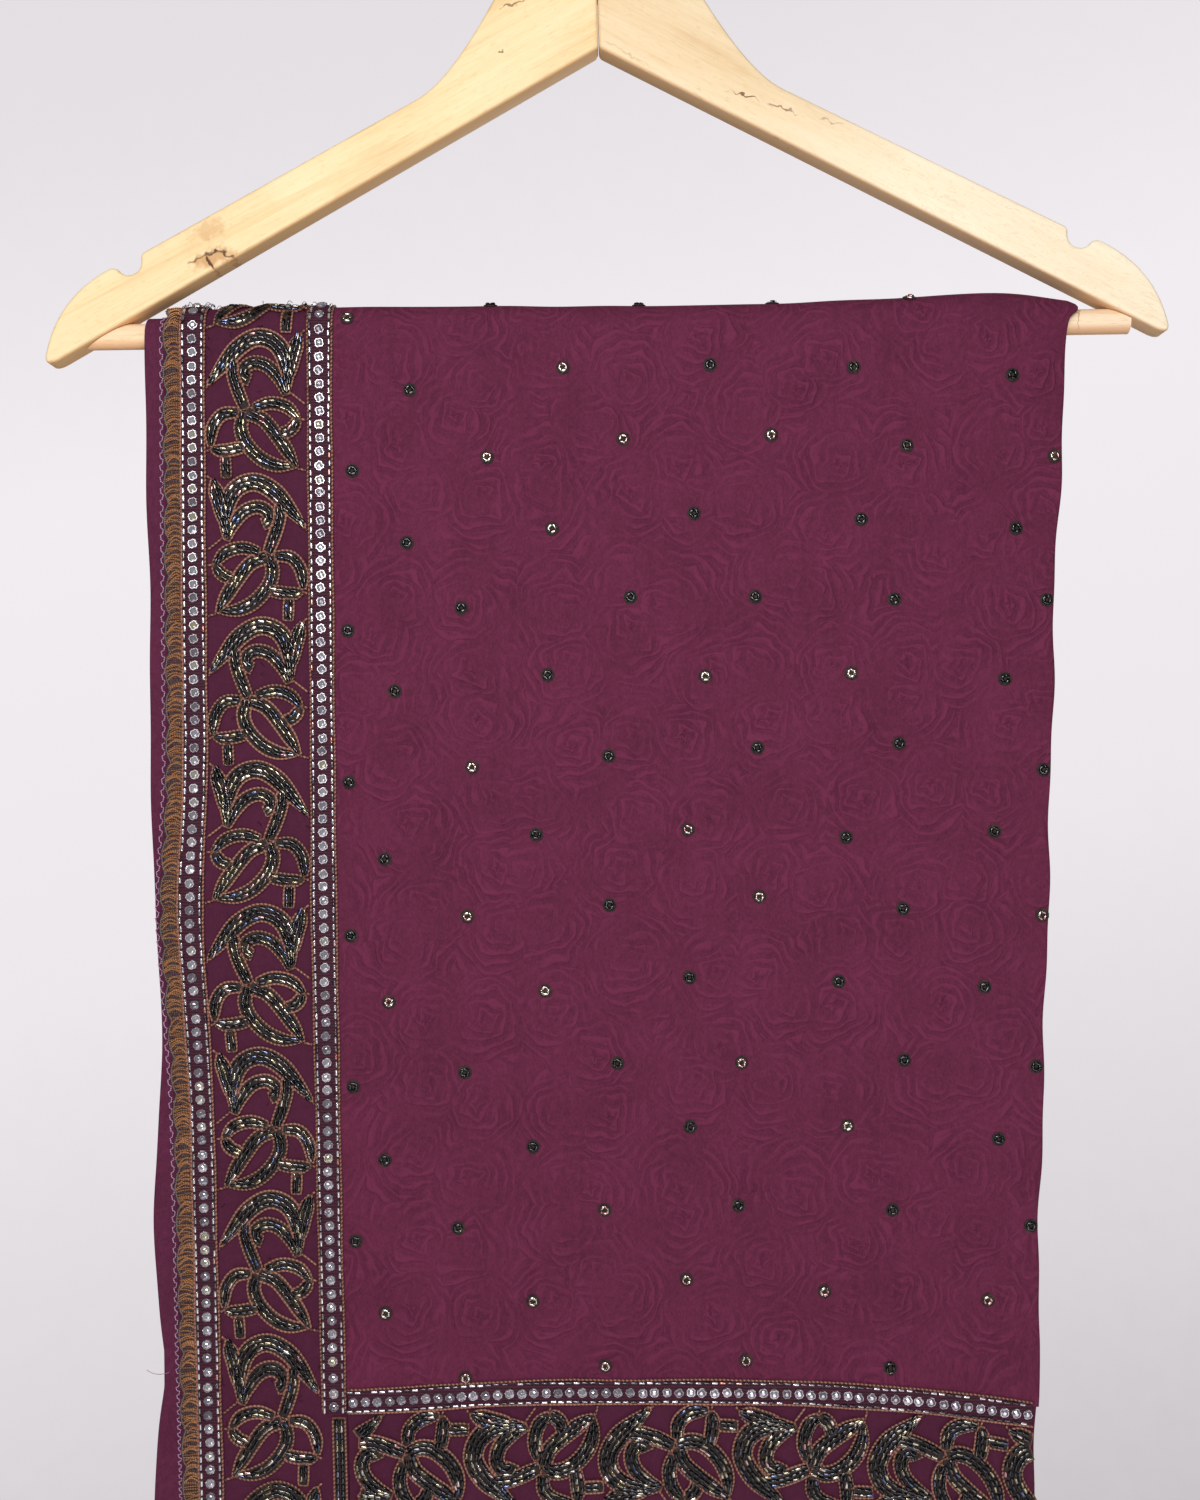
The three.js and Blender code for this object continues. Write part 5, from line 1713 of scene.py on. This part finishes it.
class SAREE_OT_stone_rows(StepOperator):
    """Faceted stones in cups on braid, with silver beads and copper cord at each side."""

    bl_idname = "saree.stone_rows"
    bl_label = "Stone rows"

    BEAD_LANE = 3.75
    BEAD_PITCH = 3.2
    CORD_LANE = 4.75
    FIRST_STONE = 2.2
    # How unevenly the stones are set: along and aside of their row, turn and lean.
    UNEVEN = {"place": 0.12, "aside": 0.1, "turn": 0.35, "lean": 0.11}
    HEIGHT = {"cup": 0.85, "bead": 1.05, "cord": 0.5}  # above the border's ground
    HEM_PAINTED_SHADE = {"stone": 0.6, "bead": 2.4}  # tones of the hem's rows, made darker as painted shade
    BRAID = [(-4.2, 0.0), (-4.2, 0.5), (-2.6, 0.95), (2.6, 0.95), (4.2, 0.5), (4.2, 0.0)]

    def stone(self, width):
        """A faceted stone: an eight-sided crown with a small table."""
        obj = cylinder(8, width / 2, 0.5, (0, 0, 0.25))
        editing(obj)
        select_faces(obj, facing(2))
        raised((0, 0, 0.55), 0.56)
        bpy.ops.mesh.inset(thickness=width * 0.1 * MM, depth=0.16 * MM)
        bpy.ops.object.mode_set(mode="OBJECT")
        return as_shape(obj)

    def cup(self, width):
        """The metal cup: a ring with four claws folded over the stone."""
        obj = cylinder(8, width / 2 * 1.14, 0.75, (0, 0, 0.375))
        editing(obj)
        select_faces(obj, facing(2))
        bpy.ops.mesh.inset(thickness=0.22 * MM)
        raised((0, 0, -0.35))
        bpy.ops.mesh.select_all(action="DESELECT")
        claws = [math.radians(22.5 + 90 * k) for k in range(4)]
        inside = width / 2 * 0.8755 * MM  # only the ring's own faces lie outside it

        def on_claw(middle, normal):
            angle = math.atan2(middle.y, middle.x)
            near = min(abs(math.remainder(angle - claw, 2 * math.pi)) for claw in claws)
            return normal.z > 0.9 and math.hypot(middle.x, middle.y) > inside and near < 0.3

        select_faces(obj, on_claw)
        raised((0, 0, 0.4), 0.84)
        bpy.ops.object.mode_set(mode="OBJECT")
        return as_shape(obj)

    def rows(self, sizes):
        """Each row: its name, the way to place things on it, its length, pitch and node."""
        below = {"inner": 9.0, "outer": 60.2}  # foot of the side rows, below the hem border's top
        into_corner = {"inner": -0.6, "outer": 51.4}  # how far the hem rows run past the seam
        for name, middle in (("inner", INNER_ROW), ("outer", OUTER_ROW)):
            start, end = -(FIELD_DEPTH + below[name]), FOOT_RUN - 3
            yield (f"{name}_side", down_side(start, middle), end - start, sizes["side_pitch"],
                   f"stone_row_{name}_side")
        for name, middle in (("inner", -INNER_ROW), ("outer", -OUTER_ROW)):
            first = float(hem_start(middle)) - into_corner[name]
            yield (f"{name}_hem", along_hem(first, middle), float(hem_stop(middle)) - first,
                   sizes["hem_pitch"], f"stone_row_{name}_hem")

    def frames(self, at, t, aside, height):
        """Origins and axes for things on a row at the places t."""
        origin = at(t, aside, height)
        out = unit(at(t, aside, height + 0.5) - origin)
        along = unit(at(t + 0.5, aside, height) - at(t - 0.5, aside, height))
        side = unit(np.cross(along, out))
        return origin, side, np.cross(out, side), out

    def build(self, scene):
        sizes = sizes_mm()
        stone, cup = self.stone(sizes["stone"]), self.cup(sizes["stone"])
        seed = bead_shape(sizes["seed_width"], sizes["seed_length"])
        materials = {
            "braid": braid_ground(tuple(colours().wine)), "glass": stone_glass(),
            "cup": cup_metal(), "seed": silver_glass(),
            "cord": twisted_thread("row_cord", tuple(colours().copper), 1.6)}
        for name, at, long, pitch, node in self.rows(sizes):
            self.row(name, at, long, pitch, node, sizes, (stone, cup, seed), materials)

    def row(self, name, at, long, pitch, node, sizes, models, materials):
        """One row: its braid, then its stones in their cups, its beads and its two cords."""
        stone, cup, seed = models
        t = np.arange(0, long, 3.0)
        braid = np.array(self.BRAID)
        rings = at(t[:, None], braid[None, :, 0], braid[None, :, 1])
        piece(f"braid_{name}", faced_out(capped(rings)), materials["braid"], [node],
              smooth=50)
        count = int((long - 3) / pitch) + 1
        uneven = self.UNEVEN
        places = self.FIRST_STONE + np.arange(count) * pitch + rng.normal(0, uneven["place"], count)
        aside = rng.normal(0, uneven["aside"], count)
        origin, side, along, out = self.frames(at, places, aside, self.HEIGHT["cup"])
        turn = rng.uniform(-uneven["turn"], uneven["turn"], count)
        cos, sin = np.cos(turn)[:, None], np.sin(turn)[:, None]
        side, along = cos * side + sin * along, cos * along - sin * side
        out = unit(out + rng.normal(0, uneven["lean"], (count, 3)))
        on_hem_border = "hem" in name
        # The hem's stones and silver beads get darker tones: painted shade.
        tones = rng.random(count) * (self.HEM_PAINTED_SHADE["stone"] if on_hem_border else 1)
        piece(f"stones_{name}", stamped(stone, origin + out * 0.3, side, along, out, tones),
              materials["glass"], smooth=1)
        piece(f"stone_cups_{name}", stamped(cup, origin, side, along, out, tones),
              materials["cup"], smooth=30)
        seeds = []
        for lane in (-self.BEAD_LANE, self.BEAD_LANE):
            number = int((long - 1) / self.BEAD_PITCH)
            t = 0.8 + np.arange(number) * self.BEAD_PITCH + rng.normal(0, 0.1, number)
            t = t[rng.random(number) > 0.02]
            aside = lane + rng.normal(0, 0.09, len(t))
            tones = rng.random(len(t)) ** (self.HEM_PAINTED_SHADE["bead"] if on_hem_border else 0.7)
            seeds.append(stamped(seed, *self.frames(at, t, aside, self.HEIGHT["bead"]), tones))
        piece(f"silver_beads_{name}", joined(seeds), materials["seed"], smooth=61)
        cords = []
        for lane in (-self.CORD_LANE, self.CORD_LANE):
            t = np.arange(0, long, 1.6)
            aside = lane + 0.14 * np.sin(t / 9 + lane) + rng.normal(0, 0.04, len(t))
            cords.append(thread_on(
                at, t, aside, self.HEIGHT["cord"], sizes["cord"] / 2, CORD_SIDES,
                tone=rng.random()))
        piece(f"row_cords_{name}", joined(cords), materials["cord"])


class SAREE_OT_edging(StepOperator):
    """Scalloped bronze satin stitches over a frayed net."""

    bl_idname = "saree.edging"
    bl_label = "Scallop edging"

    FOOT = 60.2  # of the side's edging, below the hem border's top
    HEM_MIDDLE = 63.0  # of the hem's edging, below that border's top
    INTO_CORNER = 59.0  # how far the hem's edging runs past the seam
    NET_STEP = 0.9
    RIM_STEP = 0.8
    RIM = {"height": 0.16, "radius": 0.24}

    def scallop(self, along):
        """How far the edge is drawn in at a place along it."""
        return EDGING["bite"] * (1 - np.abs(np.sin(math.pi * along / EDGING["pitch"])) ** 0.7)

    def rows(self):
        start, end = -(FIELD_DEPTH + self.FOOT), FOOT_RUN - 2
        first = float(hem_start(self.HEM_MIDDLE)) - self.INTO_CORNER
        last = float(hem_stop(self.HEM_MIDDLE))
        yield "side", down_side(start), end - start, "scallop_edging_side"
        yield "hem", along_hem(first), last - first, "scallop_edging_hem"

    def build(self, scene):
        sizes = sizes_mm()
        thread = twisted_thread("bronze_thread", tuple(colours().bronze), 0.9, 0.35)
        net = net_halo()
        rim = twisted_thread("rim_thread", srgb(118, 108, 100), 0.8, 0.0)
        bow = np.linspace(0, 1, 6)
        arc = np.stack([bow, 0.1 * np.sin(bow * math.pi), 0.35 * np.sin(bow * math.pi) + 0.05], -1)
        for name, at, long, node in self.rows():
            stitches = self.stitches(at, long, sizes["stitch"], arc)
            piece(f"satin_stitches_{name}", stitches, thread, [node], smooth=60)
            piece(f"edging_net_{name}", self.net(at, long), net)
            piece(f"edging_rim_{name}", self.rim(at, long), rim)

    def stitches(self, at, long, spacing, arc):
        """Bowed stitches from the stone row out to the scalloped edge."""
        count = int(long / spacing)
        t = np.arange(count) * spacing + rng.normal(0, spacing * 0.22, count)
        reach = EDGING["outer"] - 0.7 + self.scallop(t) + rng.normal(0, 0.25, count)
        lean = rng.normal(-0.5, 1.1, count)
        shapes = []
        for place, end, slant, tone in zip(t, reach, lean, rng.random(count)):
            across = EDGING["inner"] + (end - EDGING["inner"]) * arc[:, 0]
            along = place + slant * arc[:, 0] + (24 * tone - 2) * arc[:, 1]
            radius = (0.2 + 0.08 * tone) * np.array([0.8, 1, 1, 1, 1, 0.8])
            shapes.append(thread_on(at, along, across, arc[:, 2], radius, 4, tone=tone))
        return joined(shapes)

    def rim(self, at, long):
        """The grey thread that binds the scallops."""
        t = np.arange(0, long, self.RIM_STEP)
        across = EDGING["outer"] - 0.9 + self.scallop(t) + rng.normal(0, 0.09, len(t))
        return thread_on(at, t, across, self.RIM["height"], self.RIM["radius"], 4, tone=0.5)

    def net(self, at, long):
        """The frayed strip of net under the stitches, a little wider than they reach."""
        t = np.arange(0, long, self.NET_STEP)
        edge = EDGING["outer"] - 1.5 + self.scallop(t) * 0.95 + rng.normal(0, 0.16, len(t))
        share = np.linspace(0, 1, 4)
        across = edge[:, None] + (EDGING["inner"] + 1.0 - edge)[:, None] * share[None]
        t_grid = np.broadcast_to(t[:, None], across.shape)
        low, high = (at(t_grid, across, height) for height in (-0.15, 0.08))
        return shell(high, low, np.stack([across, t_grid], -1))


class SAREE_OT_stitching(StepOperator):
    """The zigzag seam on the free strip, and one loose thread."""

    bl_idname = "saree.stitching"
    bl_label = "Zigzag stitching"

    TURN = 2.3  # between turns of the zigzag, which lie closer low down the front
    CLOSER = {"from": 330, "over": 150, "by": 1.2}
    # Loose thread ends: their number, the share at the bar, and the seams they come from.
    ENDS = {"count": 240, "at_bar": 0.3, "bar": (12, 9), "length": (1.0, 2.7)}
    SEAMS = [-60.4, -51.6, -49.8, -10.6, -1.0, -30, -40, -20]

    def build(self, scene):
        mauve = twisted_thread("mauve_thread", tuple(colours().mauve), 0.8, 0.0)
        run, end = -(FIELD_DEPTH + HEM_END - 2), FOOT_RUN - 4
        turns = []
        while run < end:
            turns.append(run)
            low_down = np.clip((-run - self.CLOSER["from"]) / self.CLOSER["over"], 0, 1)
            run += self.TURN - self.CLOSER["by"] * float(low_down)
        turns = np.array(turns)
        across = ZIGZAG_LINE + 0.62 * np.where(np.arange(len(turns)) % 2, 1, -1)
        across = across + rng.normal(0, 0.07, len(turns))
        line = np.stack([np.repeat(across, 2)[1:], np.repeat(turns, 2)[:-1]], -1)
        line = line[1:] * 0.75 + line[:-1] * 0.25
        height = BACKING_TOP - STRIP_STEP["drop"] - BORDER_RADIUS + 0.1
        seam = thread_on(on_side, *line.T, height, 0.25, 4, tone=0.6)
        piece("zigzag_seam", seam, mauve)
        self.loose_thread(mauve)
        self.thread_ends()

    def thread_ends(self):
        """Short ends of sewing thread along the border, most of them where it bends."""
        count = self.ENDS["count"]
        run = np.where(
            rng.random(count) < self.ENDS["at_bar"], rng.normal(*self.ENDS["bar"], count),
            rng.uniform(-FIELD_DEPTH - 40, FOOT_RUN - 8, count))
        across = rng.choice(self.SEAMS, count)
        across = across + rng.normal(0, 0.7, count)
        start = on_side(across, run, 0.7)
        out = unit(on_side(across, run, 1.7) - start)
        along = unit(on_side(across, run + 1, 0.7) - start)
        side = np.cross(along, out)
        t = np.linspace(0, 1, 5)[:, None]
        ends = []
        for place, n, a, s in zip(start, out, along, side):
            reach, turn = rng.uniform(*self.ENDS["length"]), rng.uniform(0, 2 * math.pi)
            flat = a * math.cos(turn) + s * math.sin(turn)
            across_flat = a * math.sin(turn) - s * math.cos(turn)
            path = place + reach * (t * flat + 0.7 * np.sin(t * 2.6) * n + 0.4 * t**2 * across_flat)
            ends.append(tube(path, 0.13, 3, across_flat, tone=rng.random()))
        dark = twisted_thread("dark_thread", lighter(tuple(colours().wine), 0.22), 0.7, 0.0)
        piece("thread_ends", joined(ends), dark)

    def loose_thread(self, material):
        """One thread that has come out of the free edge, at its nick."""
        nick = -EDGE_NICK["depth"]
        start = lie(left_x(nick) + 1.5, nick, BACKING_TOP - STRIP_STEP["drop"])
        t = np.linspace(0, 1, 12)[:, None]
        bow = np.concatenate([-8.6 * t**0.9, -1.2 * np.sin(t * 2.4), 3.6 * t**2 - 2.2 * t], axis=1)
        path = start + bow
        piece("loose_thread", tube(path, 0.13, 4, np.array([0, -1, 0]), tone=0.2), material)


class SAREE_OT_bead_clusters(StepOperator):
    """Small rings of bugle beads scattered in a half-drop lattice over the field."""

    bl_idname = "saree.bead_clusters"
    bl_label = "Bead clusters"

    COLUMN = (56.4, 59.3)  # of the even rows and of the odd ones
    ROW = 30.34
    FIRST_ROW = 6.6  # above the hem's border
    FROM_FOLD = (3.2, 22.0)  # right-hand ring of the even rows and of the odd ones
    BOW = 7.0  # how far a row's ends hang below its middle
    LAST = 5  # column of the even rows that stands beside the border
    BESIDE_BORDER = 5.2
    MIDDLE = (55, 119)  # x of a row's middle, and half its length
    CORNER = {"run": 6, "reach": 12, "width": 9}  # left free at the fold over the bar
    CLEAR = {"seam": 3.4, "fold": 0.8, "foot": 8}
    TONES = {"pale": (0.9, 0.97), "dark": (0.0, 0.34)}
    PALE = 0.42  # share of pale rings

    def places(self):
        """x and run of each ring: every second row is shifted by half a column."""
        for row in range(int((FIELD_DEPTH + FOOT_RUN) / self.ROW)):
            run = -FIELD_DEPTH + self.FIRST_ROW + row * self.ROW
            for column in range(6):
                x = float(right_x(run)) - self.FROM_FOLD[row % 2] - column * self.COLUMN[row % 2]
                x += rng.normal(0, 2.0) if column or row % 2 else 0
                if column == self.LAST and row % 2 == 0:
                    x = max(x, float(seam_x(run)) + self.BESIDE_BORDER)
                middle, half = self.MIDDLE
                place = run - self.BOW * ((x - middle) / half) ** 2 + rng.normal(0, 1.8)
                corner, clear, fold = self.CORNER, self.CLEAR, right_x(place)
                if abs(place - corner["run"]) < corner["reach"] and x > fold - corner["width"]:
                    continue
                within = -FIELD_DEPTH < place < FOOT_RUN - clear["foot"]
                if within and seam_x(place) + clear["seam"] < x < fold - clear["fold"]:
                    yield x, place

    def build(self, scene):
        sizes = sizes_mm()
        bead = bead_shape(sizes["bugle_width"] * 0.9, sizes["bugle_length"] * 0.78)
        knot = self.knot(sizes["cluster"] * 0.46)
        shapes, knots = [], []
        for x, run in self.places():
            middle = lie(x, run, FIELD_TOP)
            normal = unit(lie(x, run, FIELD_TOP + 1) - middle)
            knots.append(stamped(
                knot, middle[None], np.array([[1.0, 0, 0]]), np.cross(normal, (1.0, 0, 0))[None],
                normal[None], [0.0]))
            count = int(rng.integers(4, 6))
            radius = sizes["cluster"] * 0.21
            pale = rng.random() < self.PALE
            angles = rng.uniform(0, 6.28) + 2 * math.pi * np.arange(count) / count
            angles = angles + rng.normal(0, 0.12, count)
            half = sizes["bugle_length"] * 0.36
            ends = []
            for sign in (-1, 1):
                ax = x + radius * np.cos(angles) - sign * half * np.sin(angles)
                ar = run + radius * np.sin(angles) + sign * half * np.cos(angles)
                ends.append((ax, ar))
            seat = FIELD_TOP + sizes["bugle_width"] * 0.42
            start, end = (lie(ax, ar, seat) for ax, ar in ends)
            out = lie(ends[0][0], ends[0][1], seat + 1) - start
            tones = rng.uniform(*self.TONES["pale" if pale else "dark"], count)
            shapes.append(set_beads(bead, start, end, out, tones))
        piece("bead_clusters", joined(shapes), bugle_glass(), smooth=61)
        piece("cluster_knots", joined(knots), cutwork_ground(), smooth=40)

    def knot(self, radius):
        """The knotted thread under a ring, which fills its middle."""
        obj = cylinder(10, radius, 0.4, (0, 0, 0.1))
        editing(obj)
        select_faces(obj, facing(2))
        bpy.ops.mesh.inset(thickness=radius * 0.3 * MM, depth=0.25 * MM)
        bpy.ops.object.mode_set(mode="OBJECT")
        return as_shape(obj)


class SAREE_PT_panel(bpy.types.Panel):
    """Lists the steps and the sizes and colours they use."""

    bl_idname = "SAREE_PT_panel"
    bl_label = "Saree"
    bl_space_type = "VIEW_3D"
    bl_region_type = "UI"
    bl_category = "Saree"

    def draw(self, context):
        for step in STEPS:
            self.layout.operator(step.bl_idname)
        for group in ("saree_sizes", "saree_colours", "saree_stage"):
            settings = getattr(context.scene, group)
            box = self.layout.box()
            for name in settings.__annotations__:
                box.prop(settings, name)


STEPS = (
    SAREE_OT_stage,
    SAREE_OT_hanger,
    SAREE_OT_plies,
    SAREE_OT_field,
    SAREE_OT_backing,
    SAREE_OT_cutwork,
    SAREE_OT_stone_rows,
    SAREE_OT_edging,
    SAREE_OT_stitching,
    SAREE_OT_bead_clusters,
)
GROUPS = {
    "saree_sizes": SareeSizes,
    "saree_colours": SareeColours,
    "saree_stage": StageSettings,
}


def register():
    for name, group in GROUPS.items():
        bpy.utils.register_class(group)
        setattr(bpy.types.Scene, name, PointerProperty(type=group))
    for part in (*STEPS, SAREE_PT_panel):
        bpy.utils.register_class(part)


def unregister():
    for part in reversed((*STEPS, SAREE_PT_panel)):
        bpy.utils.unregister_class(part)
    for name, group in GROUPS.items():
        delattr(bpy.types.Scene, name)
        bpy.utils.unregister_class(group)


def main():
    register()
    for step in STEPS:
        space, name = step.bl_idname.split(".")
        getattr(getattr(bpy.ops, space), name)()


if __name__ == "__main__":
    main()
